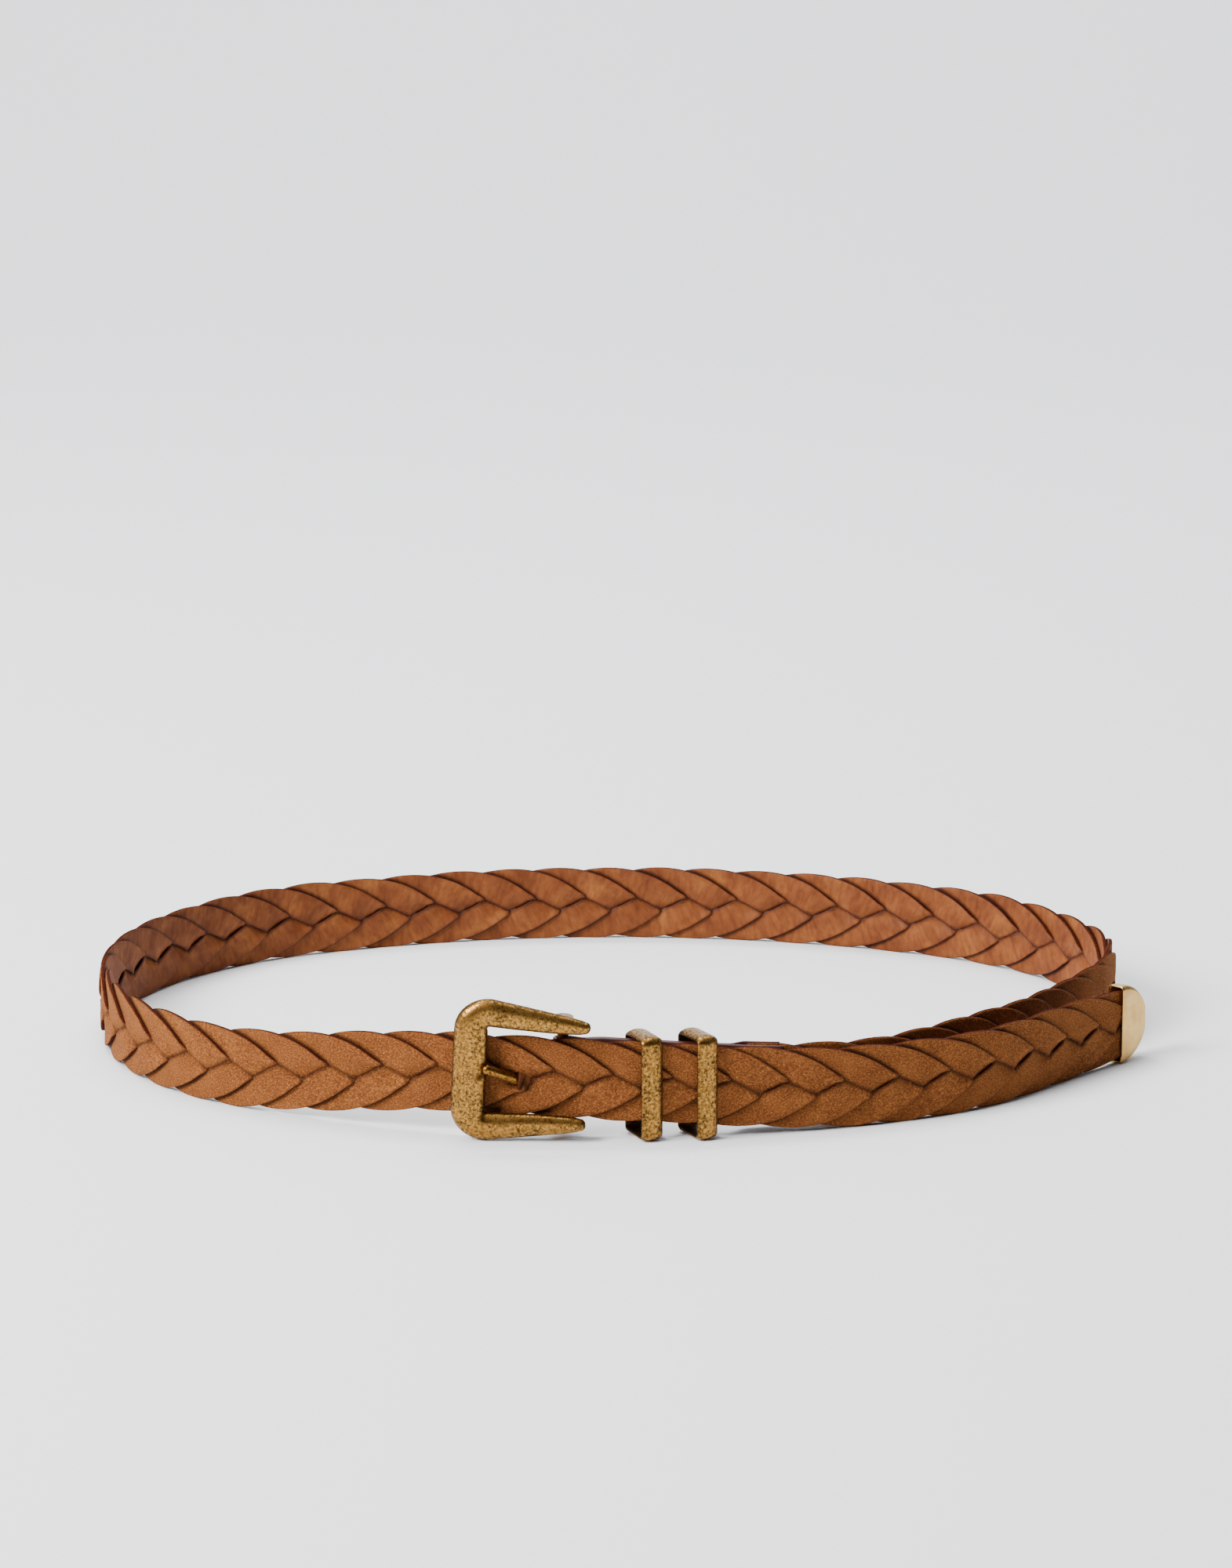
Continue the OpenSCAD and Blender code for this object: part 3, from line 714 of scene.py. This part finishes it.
def makeFrame():
    half = frameHalf()
    b = buckle
    top = armMidRoot - b["cornerRadius"]
    z = np.linspace(top, -top, 26)[1:-1]
    bar = np.stack([barX + 0 * z, z, b["barN"] - b["heelOut"] + 0 * z,
                    b["barWidth"] / 2 + 0 * z, b["barThickness"] / 2 + 0 * z], -1)
    lower = half[::-1] * np.array([1, -1, 1, 1, 1])
    path = np.concatenate([half, bar, lower])
    along = np.gradient(path[:, :2], axis=0)
    along /= np.linalg.norm(along, axis=1, keepdims=True)
    side = np.stack([along[:, 1], -along[:, 0]], -1)
    a = np.linspace(0, 2 * math.pi, frameLook["columns"], endpoint=False)
    power = 2 / b["squareness"]
    cw = np.sign(np.cos(a)) * np.abs(np.cos(a)) ** power
    cd = np.sign(np.sin(a)) * np.abs(np.sin(a)) ** power
    # rounded arm tips
    ends = []
    for share in (0.15, 0.45, 0.7, 0.88, 0.97):
        ends.append((share, b["armTip"] * 0.42 * math.sqrt(1 - share * share)))

    def ring(i, share=1.0, push=0.0):
        x, z, y, wide, deep = path[i]
        px = x + side[i, 0] * wide * cw * share + push
        pz = z + side[i, 1] * wide * cw * share
        return np.stack([px, y + deep * cd * share, pz], -1)

    last = len(path) - 1
    rings = [ring(0, share, push) for share, push in ends]
    rings += [ring(i) for i in range(len(path))]
    rings += [ring(last, share, push) for share, push in ends[::-1]]
    rings = np.array(rings)
    # a small notch on the front bar, where the prong rests
    gap = rings - np.array([barX, 0, 0])
    near = np.exp(-((rings[..., 2] - prong["tipUp"] + 0.2) / 2.3) ** 4)
    inner = smooth((gap[..., 0] - 1.6) / 1.4)
    outer = smooth((rings[..., 1] - (b["barN"] - b["heelOut"]) + 1.5) / 2)
    rings[..., 1] -= near * inner * outer * prong["notchDepth"]
    points = fromHeel(rings)
    faceOut = (rings[..., 1] - (b["barN"] - b["heelOut"])) / 3
    hollow = np.clip(0.5 - faceOut * 0.9, 0, 1)
    return sweptPiece("westernBuckleFrame", points[:, ::-1], [castBrass], {"hollow": hollow[:, ::-1].ravel()})


def roundedBlock(name, low, high, radius, place, material):
    # a block with rounded upright edges and soft ends, given in a straight frame
    low, high = np.array(low, float), np.array(high, float)
    rings = []
    for z, inset in ((low[2], 0.45), (low[2] + 0.15, 0.15), (low[2] + 0.45, 0),
                     (high[2] - 0.45, 0), (high[2] - 0.15, 0.15), (high[2], 0.45)):
        mid, half = (low + high) / 2, (high - low) / 2 - inset
        r = max(radius - inset, 0.2)
        rings.append([(mid[0] + cx * (half[0] - r) + ca * r, mid[1] + cy * (half[1] - r) + sa * r, z)
                      for cx, cy, ca, sa in roundCorners(7)])
    return sweptPiece(name, place(np.array(rings)), [material])


outfit(makeFrame(), "buckle", "antique_brass", "buckle_frame")
lugReach, lugHalf = buckle["armN"] - buckle["heelOut"], buckle["lugHalf"]
for index, low in enumerate((buckle["lugInner"], lugLow)):
    lug = roundedBlock("buckleLug%d" % (index + 1), (-lugHalf, -lugHalf, low),
                       (lugHalf, lugReach, low + buckle["lugHeight"]),
                       buckle["lugRound"], fromHeel, castBrass)
    outfit(lug, "buckle", "antique_brass")


def roundBar(name, low, high, radii, material, place, bend=None, sides=28):
    # a straight turned bar from low to high; radii is position and radius pairs
    low, high = np.array(low, float), np.array(high, float)
    axis = (high - low) / np.linalg.norm(high - low)
    side = np.cross(axis, [0.0, 1.0, 0.3])
    side /= np.linalg.norm(side)
    up = np.cross(axis, side)
    a = np.linspace(0, 2 * math.pi, sides, endpoint=False)[None, :, None]
    rings = []
    for t, radius in radii:
        middle = low + (high - low) * t + (bend(t) if bend else 0)
        rings.append(middle + radius * (np.cos(a[0]) * side + np.sin(a[0]) * up))
    return sweptPiece(name, place(np.array(rings)), [material])


def roundEnds(radius, length, count=7):
    # position and radius pairs for a bar with a dome at both ends
    turns = np.radians(np.linspace(6, 90, count))
    start = [(radius * (1 - math.cos(a)) / length, radius * math.sin(a)) for a in turns]
    return start + [(1 - t, r) for t, r in start[::-1]]


bar = roundBar("heelBarPin", (0, 0, lugLow), (0, 0, lugTop),
               roundEnds(buckle["heelRadius"], lugTop - lugLow), turnedBrass, fromHeel)
outfit(bar, "buckle", "plain_brass", "heel_bar")


def makeProng():
    p = prong
    low, high = (0, 0, p["low"]), (p["tipX"], p["tipOut"], p["tipUp"])
    length = math.dist(low, high)
    radii = [(0.0, p["rootRadius"])]
    radii += [(t, p["rootRadius"] + (p["tipRadius"] - p["rootRadius"]) * t)
              for t in np.linspace(0.05, 1.0, 20)]
    radii += [(1 + p["pastTip"] / length * math.sin(a), p["tipRadius"] * math.cos(a))
              for a in np.radians(np.linspace(12, 86, 10))]
    rod = roundBar("buckleProng", low, high, radii, turnedBrass, fromHeel)
    a = np.linspace(0, 2 * math.pi, 40, endpoint=False)
    # the loop round the heel bar is a turned ring with rounded rims
    section = []
    inner, outer, half = buckle["heelRadius"] + 0.06, p["loopRadius"], p["loopHeight"] / 2
    for b in np.radians(np.linspace(0, 360, 24, endpoint=False)):
        c, d = math.cos(b), math.sin(b)
        section.append(((inner + outer) / 2 + (outer - inner) / 2 * np.sign(c) * abs(c) ** 0.4,
                        p["low"] + half * np.sign(d) * abs(d) ** 0.4))
    section = np.array(section)
    rings = np.stack([section[None, :, 0] * np.cos(a)[:, None], section[None, :, 0] * np.sin(a)[:, None],
                      section[None, :, 1] + 0 * a[:, None]], -1)
    ringPiece = sweptPiece("prongLoop", fromHeel(rings), [turnedBrass], closed=True)
    return rod, ringPiece


rod, loopPiece = makeProng()
outfit(rod, "prong", "antique_brass", "prong")
outfit(loopPiece, "prong", "antique_brass")
print("buckle made")


# keepers, cast loops with a domed face

keeper = {"width": 7, "wall": 1.6, "front": halfBraid + 0.75, "height": route["strapWidth"] + 7.8,
          "corner": 2.6, "rimWall": 0.65, "skew": math.radians(22), "places": (8.5, 25)}
chape = {"thickness": 1.1, "height": route["strapWidth"] - 0.6, "end": 52, "layerGap": 0.6, "plyGap": 0.1,
         "foldGap": 0.25, "foldTaper": 0.1, "taperRun": 14}
outerPly = -(halfBraid + chape["layerGap"] + chape["thickness"] / 2)
innerPly = outerPly - chape["thickness"] - chape["plyGap"]
jointPly = route["fixedEnd"] - halfBraid - chape["plyGap"] - chape["thickness"] / 2
keeper["back"] = innerPly - chape["thickness"] / 2 - 0.9


def makeKeeper(name, s):
    k = keeper
    room = (k["front"] - k["back"] + k["width"] * math.sin(k["skew"])) / math.cos(k["skew"])
    depth, height, r = room + 2 * k["wall"], k["height"], k["corner"]
    path = [((depth - r if cx > 0 else r) + r * ca, (height - r if cz > 0 else r) + r * sa, ca, sa)
            for cx, cz, ca, sa in roundCorners(9)]
    # the straight runs take a few rings of their own
    full = []
    for here, after in zip(path, path[1:] + path[:1]):
        full.append(here)
        if math.dist(here[:2], after[:2]) > 2:
            full += between(here, after, np.linspace(0, 1, 10)[1:-1])
    full = np.array(full)
    out = full[:, 2:] / np.linalg.norm(full[:, 2:], axis=1, keepdims=True)
    half = k["width"] / 2
    # section: x along the strap, and how far in from the outer face
    section = []
    for t in np.linspace(-1, 1, 15):
        dome = (k["wall"] - k["rimWall"]) * abs(t) ** 2.1
        section.append((half * t * (1 - 0.02 * abs(t) ** 8), dome + 0.12 * abs(t) ** 12))
    section += [(half * 0.985, k["wall"] - 0.12), (half * 0.93, k["wall"]), (0, k["wall"]),
                (-half * 0.93, k["wall"]), (-half * 0.985, k["wall"] - 0.12)]
    section = np.array(section)
    y = full[:, None, 0] - out[:, None, 0] * section[None, :, 1] - depth / 2
    z = full[:, None, 1] - out[:, None, 1] * section[None, :, 1]
    x = section[None, :, 0] + 0 * y
    # a loose keeper sits skewed on the strap
    c, d = math.cos(k["skew"]), math.sin(k["skew"])
    x, y = x * c - y * d, x * d + y * c - (k["front"] + k["back"]) / 2
    hollow = np.clip(np.abs(section[:, 0]) / half, 0, 1) ** 3 * 0.2 + (section[:, 1] > 1.2) * 0.5
    points = fromLocal(s, 0, np.stack([x, y, z], -1))
    return sweptPiece(name, points, [castBrass],
                      {"hollow": np.broadcast_to(hollow, points.shape[:2]).ravel()}, closed=True)


for name, node, place in zip(("keeperNearBuckle", "keeperFar"), ("first_keeper", "second_keeper"),
                             keeper["places"]):
    outfit(makeKeeper(name, place), node, "antique_brass", node)


# chape: one strip folded round the heel bar

heelPly = buckle["heelOut"] - buckle["heelRadius"] - chape["foldGap"] - chape["thickness"] / 2
foldRadius = buckle["heelRadius"] + chape["foldGap"] + chape["thickness"] / 2
heelS = buckle["heelAt"]


def plyIn(s):
    behindHeel = heelPly + (innerPly - heelPly) * smooth((s - heelS) / 8)
    return behindHeel + (jointPly - innerPly) * smooth((s - 35) / 6)


def makeChape():
    c = chape
    s = np.arange(heelS, c["end"] + 0.01, 1.5)
    outer = np.stack([s[::-1], outerPly + 0 * s, 0 * s, 1 + 0 * s], -1)
    a = np.radians(np.linspace(90, 270, 19)[1:-1])
    fold = np.stack([heelS + foldRadius * np.cos(a), buckle["heelOut"] + foldRadius * np.sin(a),
                     np.cos(a), np.sin(a)], -1)
    inner = np.stack([s, plyIn(s), 0 * s, -1 + 0 * s], -1)
    path = np.concatenate([outer, fold, inner])
    half, tall = c["thickness"] / 2, c["height"] / 2
    section = []
    for t in np.linspace(-1, 1, 9):
        section.append((half, (tall - 0.3) * t))
    section.append((half * 0.5, tall))
    section.append((-half * 0.5, tall))
    for t in np.linspace(1, -1, 9):
        section.append((-half, (tall - 0.3) * t))
    section.append((-half * 0.5, -tall))
    section.append((half * 0.5, -tall))
    section = np.array(section)
    shift = section[None, :, 0]
    up = section[None, :, 1] * (1 - c["foldTaper"] * (1 - smooth((path[:, :1] - heelS) / c["taperRun"])))
    lean = (up - strapDrop) * math.tan(math.radians(buckle["roll"]))
    lean *= 1 - smooth((path[:, None, 0] - heelS) / -heelS)
    points = onBelt(path[:, None, 0] + path[:, None, 2] * shift + lean, up,
                    path[:, None, 1] + path[:, None, 3] * shift)
    strip = sweptPiece("chapeStrip", points[:, ::-1], [burgundy])
    slotHalf = prong["loopHeight"] / 2
    cutter = roundedBlock("prongSlotCutter", (-8, -(prong["loopRadius"] + 1.4), prong["low"] - slotHalf - 1),
                          (prong["loopRadius"] + 0.8, 8, prong["low"] + slotHalf + 2),
                          1.5, fromHeel, burgundy)
    cut = strip.modifiers.new("slot", "BOOLEAN")
    cut.operation, cut.solver, cut.object = "DIFFERENCE", "EXACT", cutter
    return settled(strip, (cutter,))


def settled(piece, helpers=()):
    # the piece with its modifiers baked into a plain mesh, and its helpers removed
    bpy.context.view_layer.update()
    graph = bpy.context.evaluated_depsgraph_get()
    mesh = bpy.data.meshes.new_from_object(piece.evaluated_get(graph), depsgraph=graph)
    piece.modifiers.clear()
    old, piece.data = piece.data, mesh
    mesh.name = piece.name
    bpy.data.meshes.remove(old)
    for helper in helpers:
        bpy.data.objects.remove(helper)
    mesh.polygons.foreach_set("use_smooth", [True] * len(mesh.polygons))
    return piece


outfit(makeChape(), "strap", "chape_leather", "chape")
print("keepers and chape made")


# what Geometry Nodes lays out: stitches and the nap's fibres

def newTree(name, inputs):
    # a geometry tree with named inputs: name, socket type and default
    tree = bpy.data.node_groups.new(name, "GeometryNodeTree")
    tree.interface.new_socket(name="Geometry", in_out="INPUT", socket_type="NodeSocketGeometry")
    tree.interface.new_socket(name="Geometry", in_out="OUTPUT", socket_type="NodeSocketGeometry")
    for label, kind, value in inputs:
        item = tree.interface.new_socket(name=label, in_out="INPUT", socket_type=kind)
        if value is not None:
            item.default_value = value
    return tree, tree.nodes.new("NodeGroupInput"), tree.nodes.new("NodeGroupOutput")


def applyTree(piece, tree, values):
    # inputs are set by socket identifier before the tree is first evaluated
    modifier = piece.modifiers.new(tree.name, "NODES")
    modifier.node_group = tree
    for item in tree.interface.items_tree:
        if item.item_type == "SOCKET" and item.in_out == "INPUT" and item.name in values:
            modifier[item.identifier] = values[item.name]
    return settled(piece)


def paintCopies(tree, copies, start, end):
    real = addNode(tree, "GeometryNodeRealizeInstances", links={"Geometry": copies.outputs["Instances"]})
    paint = addNode(tree, "GeometryNodeSetMaterial", links={
        "Geometry": real.outputs["Geometry"], "Material": start.outputs["Material"]})
    tree.links.new(paint.outputs["Geometry"], end.inputs["Geometry"])
    return tree


def stitchTree():
    tree, start, end = newTree("stitchesOnPoints", [
        ("Stitch Length", "NodeSocketFloat", 2.4 * mm), ("Thread Radius", "NodeSocketFloat", 0.35 * mm),
        ("Slant", "NodeSocketFloat", 0.12), ("Seed", "NodeSocketInt", 3),
        ("Material", "NodeSocketMaterial", None)])
    line = addNode(tree, "GeometryNodeCurveArc", {
        "mode": "RADIUS", "in:Resolution": 9, "in:Start Angle": math.radians(62),
        "in:Sweep Angle": math.radians(56)})
    # an arc of thread: it dives into the leather at both ends
    radius = mathOf(tree, "MULTIPLY", start.outputs["Stitch Length"], 1.06)
    tree.links.new(radius, line.inputs["Radius"])
    move = addNode(tree, "ShaderNodeCombineXYZ", links={"Y": mathOf(tree, "MULTIPLY", radius, -1.0)})
    centred = addNode(tree, "GeometryNodeTransform", links={"Geometry": line.outputs["Curve"],
                                                            "Translation": move.outputs[0]})
    ring = addNode(tree, "GeometryNodeCurvePrimitiveCircle", {"in:Resolution": 10},
                   {"Radius": start.outputs["Thread Radius"]})
    tube = addNode(tree, "GeometryNodeCurveToMesh", {"in:Fill Caps": True},
                   {"Curve": centred.outputs[0], "Profile Curve": ring.outputs["Curve"]})
    turn = addNode(tree, "GeometryNodeInputNamedAttribute", {"data_type": "FLOAT_VECTOR", "in:Name": "turn"})
    lean = addNode(tree, "FunctionNodeRandomValue", {"data_type": "FLOAT"}, {"Seed": start.outputs["Seed"]})
    tree.links.new(mathOf(tree, "MULTIPLY", start.outputs["Slant"], -1.0), lean.inputs[2])
    tree.links.new(start.outputs["Slant"], lean.inputs[3])
    tilt = addNode(tree, "ShaderNodeCombineXYZ", links={"Z": lean.outputs[1]})
    turned = addNode(tree, "ShaderNodeVectorMath", {"operation": "ADD"},
                     {"0": turn.outputs["Attribute"], "1": tilt.outputs[0]})
    spread = addNode(tree, "GeometryNodeInstanceOnPoints", links={
        "Points": start.outputs["Geometry"], "Instance": tube.outputs["Mesh"],
        "Rotation": turned.outputs[0]})
    return paintCopies(tree, spread, start, end)


stitch = {"radius": 0.35, "gap": 3.4, "length": 2.5,
          "rows": {"heelStitchRow": (-8,), "jointStitchRows": (49, 45)}}
stitching = stitchTree()


def makeStitches(name, places):
    count = int((chape["height"] - 4) // stitch["gap"])
    points, turns = [], []
    for s in places:
        face = plyIn(s if len(places) == 1 else chape["end"]) - chape["thickness"] / 2
        heading = float(ovalAt(np.asarray(float(s)))[0])
        for i in range(count):
            points.append(onBelt(np.asarray(float(s)), (i - (count - 1) / 2) * stitch["gap"], face - 0.05))
            # the stitch's X lies up the strap and its Y points out of the leather
            frameTurn = np.array([[0, -math.sin(heading), math.cos(heading)],
                                  [0, math.cos(heading), math.sin(heading)], [1, 0, 0]])
            turns.append(matrixTurn(frameTurn))
    piece = newPiece(name, np.array(points), [], [thread], {"turn": np.array(turns)})
    return applyTree(piece, stitching, {"Stitch Length": stitch["length"] * mm,
                                        "Thread Radius": stitch["radius"] * mm, "Material": thread})


def matrixTurn(columns):
    # XYZ angles of the turn whose columns are the new X, Y and Z; made right-handed first
    x = Vector([columns[0][0], columns[1][0], columns[2][0]])
    y = Vector([columns[0][1], columns[1][1], columns[2][1]])
    z = x.cross(y)
    return tuple(Matrix((x, y, z)).transposed().to_euler("XYZ"))


for row, node in (("heelStitchRow", "heel_stitches"), ("jointStitchRows", "joint_stitches")):
    outfit(makeStitches(row, stitch["rows"][row]), "strap", "thread", node)


fuzz = {"Nap": {"perSquareMm": 0.3, "length": 0.5, "lean": 0.9, "faceSlot": 0},
        "Rim": {"perSquareMm": 2.2, "length": 1.1, "lean": 0.7, "faceSlot": 2},
        "width": 0.09, "seed": 5}


def fuzzTree():
    tree, start, end = newTree("suedeFuzz", [
        ("Density", "NodeSocketFloat", 1e5), ("Fibre Length", "NodeSocketFloat", 0.8 * mm),
        ("Fibre Width", "NodeSocketFloat", 0.07 * mm), ("Lean", "NodeSocketFloat", 0.9),
        ("Seed", "NodeSocketInt", 5), ("Material", "NodeSocketMaterial", None)])
    index = addNode(tree, "GeometryNodeInputMaterialIndex")
    napped = addNode(tree, "FunctionNodeCompare", {"data_type": "INT", "operation": "EQUAL", "in:3": 0},
                     {"2": index.outputs[0]})
    spread = addNode(tree, "GeometryNodeDistributePointsOnFaces", links={
        "Mesh": start.outputs["Geometry"], "Density": start.outputs["Density"],
        "Seed": start.outputs["Seed"], "Selection": napped.outputs[0]})
    blade = addNode(tree, "GeometryNodeMeshGrid", {"in:Vertices X": 2, "in:Vertices Y": 2}, {
        "Size X": start.outputs["Fibre Width"], "Size Y": start.outputs["Fibre Length"]})
    up = addNode(tree, "ShaderNodeCombineXYZ",
                 links={"Z": mathOf(tree, "MULTIPLY", start.outputs["Fibre Length"], 0.46)})
    stand = addNode(tree, "GeometryNodeTransform", {"in:Rotation": (math.pi / 2, 0, 0)},
                    {"Geometry": blade.outputs["Mesh"], "Translation": up.outputs[0]})
    low = mathOf(tree, "MULTIPLY", start.outputs["Lean"], -1.0)
    seedTwo = mathOf(tree, "ADD", start.outputs["Seed"], 7.0)
    leans = {}
    for axis, seed in (("X", start.outputs["Seed"]), ("Y", seedTwo)):
        leans[axis] = addNode(tree, "FunctionNodeRandomValue", {"data_type": "FLOAT"},
                              {"2": low, "3": start.outputs["Lean"], "Seed": seed}).outputs[1]
    leaning = addNode(tree, "ShaderNodeCombineXYZ", {"in:Z": 0.0}, leans)
    turned = addNode(tree, "FunctionNodeRotateRotation", {"rotation_space": "LOCAL"},
                     {"Rotation": spread.outputs["Rotation"], "Rotate By": leaning.outputs[0]})
    size = addNode(tree, "FunctionNodeRandomValue", {"data_type": "FLOAT", "in:2": 0.45, "in:3": 1.1},
                   {"Seed": seedTwo})
    copies = addNode(tree, "GeometryNodeInstanceOnPoints", links={
        "Points": spread.outputs["Points"], "Instance": stand.outputs[0],
        "Rotation": turned.outputs[0], "Scale": size.outputs[1]})
    return paintCopies(tree, copies, start, end)


def fibreFinish():
    # single loose fibres of the nap: paler than the hide and lit through
    m, t, s = newMaterial("looseSuedeFibre", 0.9, IOR=1.45, Sheen_Weight=0.4)
    s.inputs["Base Color"].default_value = linearColour("#a8683a")
    s.inputs["Specular IOR Level"].default_value = 0.2
    return m


fibre = fibreFinish()
fuzzing = fuzzTree()


def makeFuzz(name, strands, seed, part):
    # real fibres are 0.02 mm wide, too fine to show, so these are drawn coarser:
    # one mesh of them over the napped faces of all these strands, or over their cut edges
    points, faces, count, look = [], [], 0, fuzz[part]
    for strand in strands:
        mesh = strand.data
        flat = np.empty(len(mesh.vertices) * 3, np.float32)
        mesh.vertices.foreach_get("co", flat)
        points.append(flat.reshape(-1, 3) / mm)
        for polygon in mesh.polygons:
            if polygon.material_index == look["faceSlot"] and len(polygon.vertices) == 4:
                faces.append(tuple(count + i for i in polygon.vertices))
        count += len(mesh.vertices)
    piece = newPiece(name, np.concatenate(points), faces, [fibre])
    return applyTree(piece, fuzzing, {
        "Density": look["perSquareMm"] / mm ** 2, "Fibre Length": look["length"] * mm,
        "Fibre Width": fuzz["width"] * mm, "Lean": look["lean"], "Seed": seed, "Material": fibre})


for index, part in enumerate(("Nap", "Rim")):
    seed = fuzz["seed"] + 2 * index
    outfit(makeFuzz("suedeFuzzStrap" + part, mainStrands, seed, part), "strap", "suede")
    bendWith(makeFuzz("suedeFuzzFreeEnd" + part, tailStrands, seed + 1, part), "suede")
print("stitches and fibres laid out")


# metal tip

tip = {"height": route["strapWidth"] + 0.6, "wall": 0.9, "pocket": 5.0, "faceRound": 1.5,
       "rivetAt": 2.6}


def fromTip(points):
    return turnedTo(tipHeading, float(mouthX), float(mouthY), 0, points)


def tipRing(x, inset, round):
    # across the tip at x from its mouth: an oblong with eased edges; the end is half a round
    halfHigh = tip["height"] / 2
    past = max(x - (route["tipLength"] - halfHigh), 0)
    high = math.sqrt(max((halfHigh - inset) ** 2 - past ** 2, 0.0025))
    deep = route["tipThickness"] / 2 - inset
    r = min(round, high * 0.98, deep * 0.98)
    # near the end the easing of the rim closes the ring in
    rimGap = route["tipLength"] - inset - x
    if rimGap < tip["faceRound"]:
        deep -= tip["faceRound"] * (1 - math.sqrt(max(1 - (1 - max(rimGap, 0) / tip["faceRound"]) ** 2, 0)))
        r = min(r, deep * 0.98)
    ring = [(cy * (deep - r) + r * ca, cz * (high - r) + r * sa) for cy, cz, ca, sa in roundCorners(9)]
    # the long faces and the top take points of their own
    full = []
    for here, after in zip(ring, ring[1:] + ring[:1]):
        full.append(here)
        if ring.index(here) % 9 == 8:
            full += between(here, after, (0.12, 0.3, 0.5, 0.7, 0.88))
    full = np.array(full)
    return np.stack([x + 0 * full[:, 0], full[:, 0], halfHigh + full[:, 1]], -1)


def makeTip():
    length, w, r = route["tipLength"], tip["wall"], tip["faceRound"]
    rings = [tipRing(tip["pocket"], w, 0.6), tipRing(0.5, w, 0.6), tipRing(0.1, w - 0.12, 0.7),
             tipRing(0.0, w * 0.55, 0.9), tipRing(0.1, 0.15, r - 0.1), tipRing(0.45, 0, r)]
    straight = length - tip["height"] / 2
    for a in np.radians(np.linspace(4, 87, 40)):
        rings.append(tipRing(straight + math.sin(a) * tip["height"] / 2, 0, r))
    rings = np.array(rings)
    # a soft crown over the two faces
    away = np.hypot(rings[6:, :, 0] - straight, rings[6:, :, 2] - tip["height"] / 2) / (tip["height"] / 2)
    rings[6:, :, 1] *= 1 - 0.13 * np.clip(away, 0, 1) ** 3
    rim = np.zeros(rings.shape[:2])
    rim[:3] = 1.0
    return sweptPiece("metalTip", fromTip(rings), [satinBrass], {"hollow": rim.ravel()})


outfit(makeTip(), "free_end", "satin_brass", "tip_cap")
rivet = roundBar("tipRivetHead", (tip["rivetAt"], 0, tip["height"] / 2),
                 (tip["rivetAt"], route["tipThickness"] / 2 + 0.35, tip["height"] / 2),
                 [(0, 1.15), (0.75, 1.15), (0.8, 1.6), (0.86, 1.62), (0.93, 1.4), (0.98, 0.9), (1.0, 0.3)],
                 satinBrass, fromTip)
outfit(rivet, "free_end", "satin_brass", "tip_rivet")
print("tip made")


# floor, light and camera

studio = {
    "keyPower": 100, "backPower": 92, "topPower": 30, "world": 0.42, "floorColour": "#f8fafd",
    "worldDark": "#2c2d30", "worldPale": "#f8fbff",
    "eye": (shiftX, -1553.2, 441), "downTilt": 12.97, "lens": 113.4,
}


def makeFloor():
    # a pale paper sweep: flat under the belt and curved up far behind it
    across = np.linspace(-3.5, 3.5, 9)
    profile = [(-3.2, 0.0), (1.6, 0.0)]
    for a in np.radians(np.linspace(0, 90, 16)[1:]):
        profile.append((1.6 + 1.4 * math.sin(a), 1.4 - 1.4 * math.cos(a)))
    profile.append((3.0, 4.5))
    points = [(x, y, z - 0.00002) for y, z in profile for x in across]
    faces = gridFaces(len(profile), len(across), wrapColumns=False)
    floor = newPiece("paperSweep", np.array(points) / mm, faces[:, ::-1], [])
    m, t, s = newMaterial("matWhitePaper", 0.9, Specular_IOR_Level=0.2)
    s.inputs["Base Color"].default_value = linearColour(studio["floorColour"])
    floor.data.materials.append(m)
    return floor


def softLight(name, at, aim, size, power, tint="#ffffff"):
    data = bpy.data.lights.new(name, "AREA")
    data.shape, data.size, data.size_y = "RECTANGLE", size[0], size[1]
    data.energy = power
    data.color = linearColour(tint)[:3]
    light = bpy.data.objects.new(name, data)
    light.location = at
    light.rotation_euler = (Vector(aim) - Vector(at)).to_track_quat("-Z", "Y").to_euler()
    bpy.context.scene.collection.objects.link(light)
    return light


makeFloor()
softLight("keySoftbox", (-1.5, -1.0, 1.35), (0, 0, 0), (1.0, 1.0), studio["keyPower"], "#fffdfb")
softLight("topSoftbox", (-0.3, 0.1, 1.9), (0, 0.05, 0), (1.5, 1.2), studio["topPower"])
softLight("sweepLight", (0.0, 1.0, 2.6), (0, 2.6, 0.9), (3.0, 1.0), studio["backPower"])

world = bpy.data.worlds.new("paleStudio")
world.use_nodes = True
room = world.node_tree
towards = addNode(room, "ShaderNodeTexCoord").outputs["Generated"]
depth = addNode(room, "ShaderNodeSeparateXYZ", links={"Vector": towards}).outputs["Y"]
facing = addNode(room, "ShaderNodeMapRange", {"in:From Min": -0.75, "in:From Max": 0.35}, {"Value": depth})
# darker on the camera's side, so that the metal has something dark to reflect
tone = rampOf(room, facing.outputs["Result"], ((0.0, studio["worldDark"]), (1.0, studio["worldPale"])))
room.links.new(tone, room.nodes["Background"].inputs["Color"])
room.nodes["Background"].inputs["Strength"].default_value = studio["world"]
bpy.context.scene.world = world

lensData = bpy.data.cameras.new("productCamera")
lensData.lens, lensData.sensor_width = studio["lens"], 36
lensData.clip_end = 20
camera = bpy.data.objects.new("productCamera", lensData)
camera.location = [c * mm for c in studio["eye"]]
camera.rotation_euler = (math.radians(90 - studio["downTilt"]), 0, 0)
bpy.context.scene.collection.objects.link(camera)
bpy.context.scene.camera = camera
print("stage set")
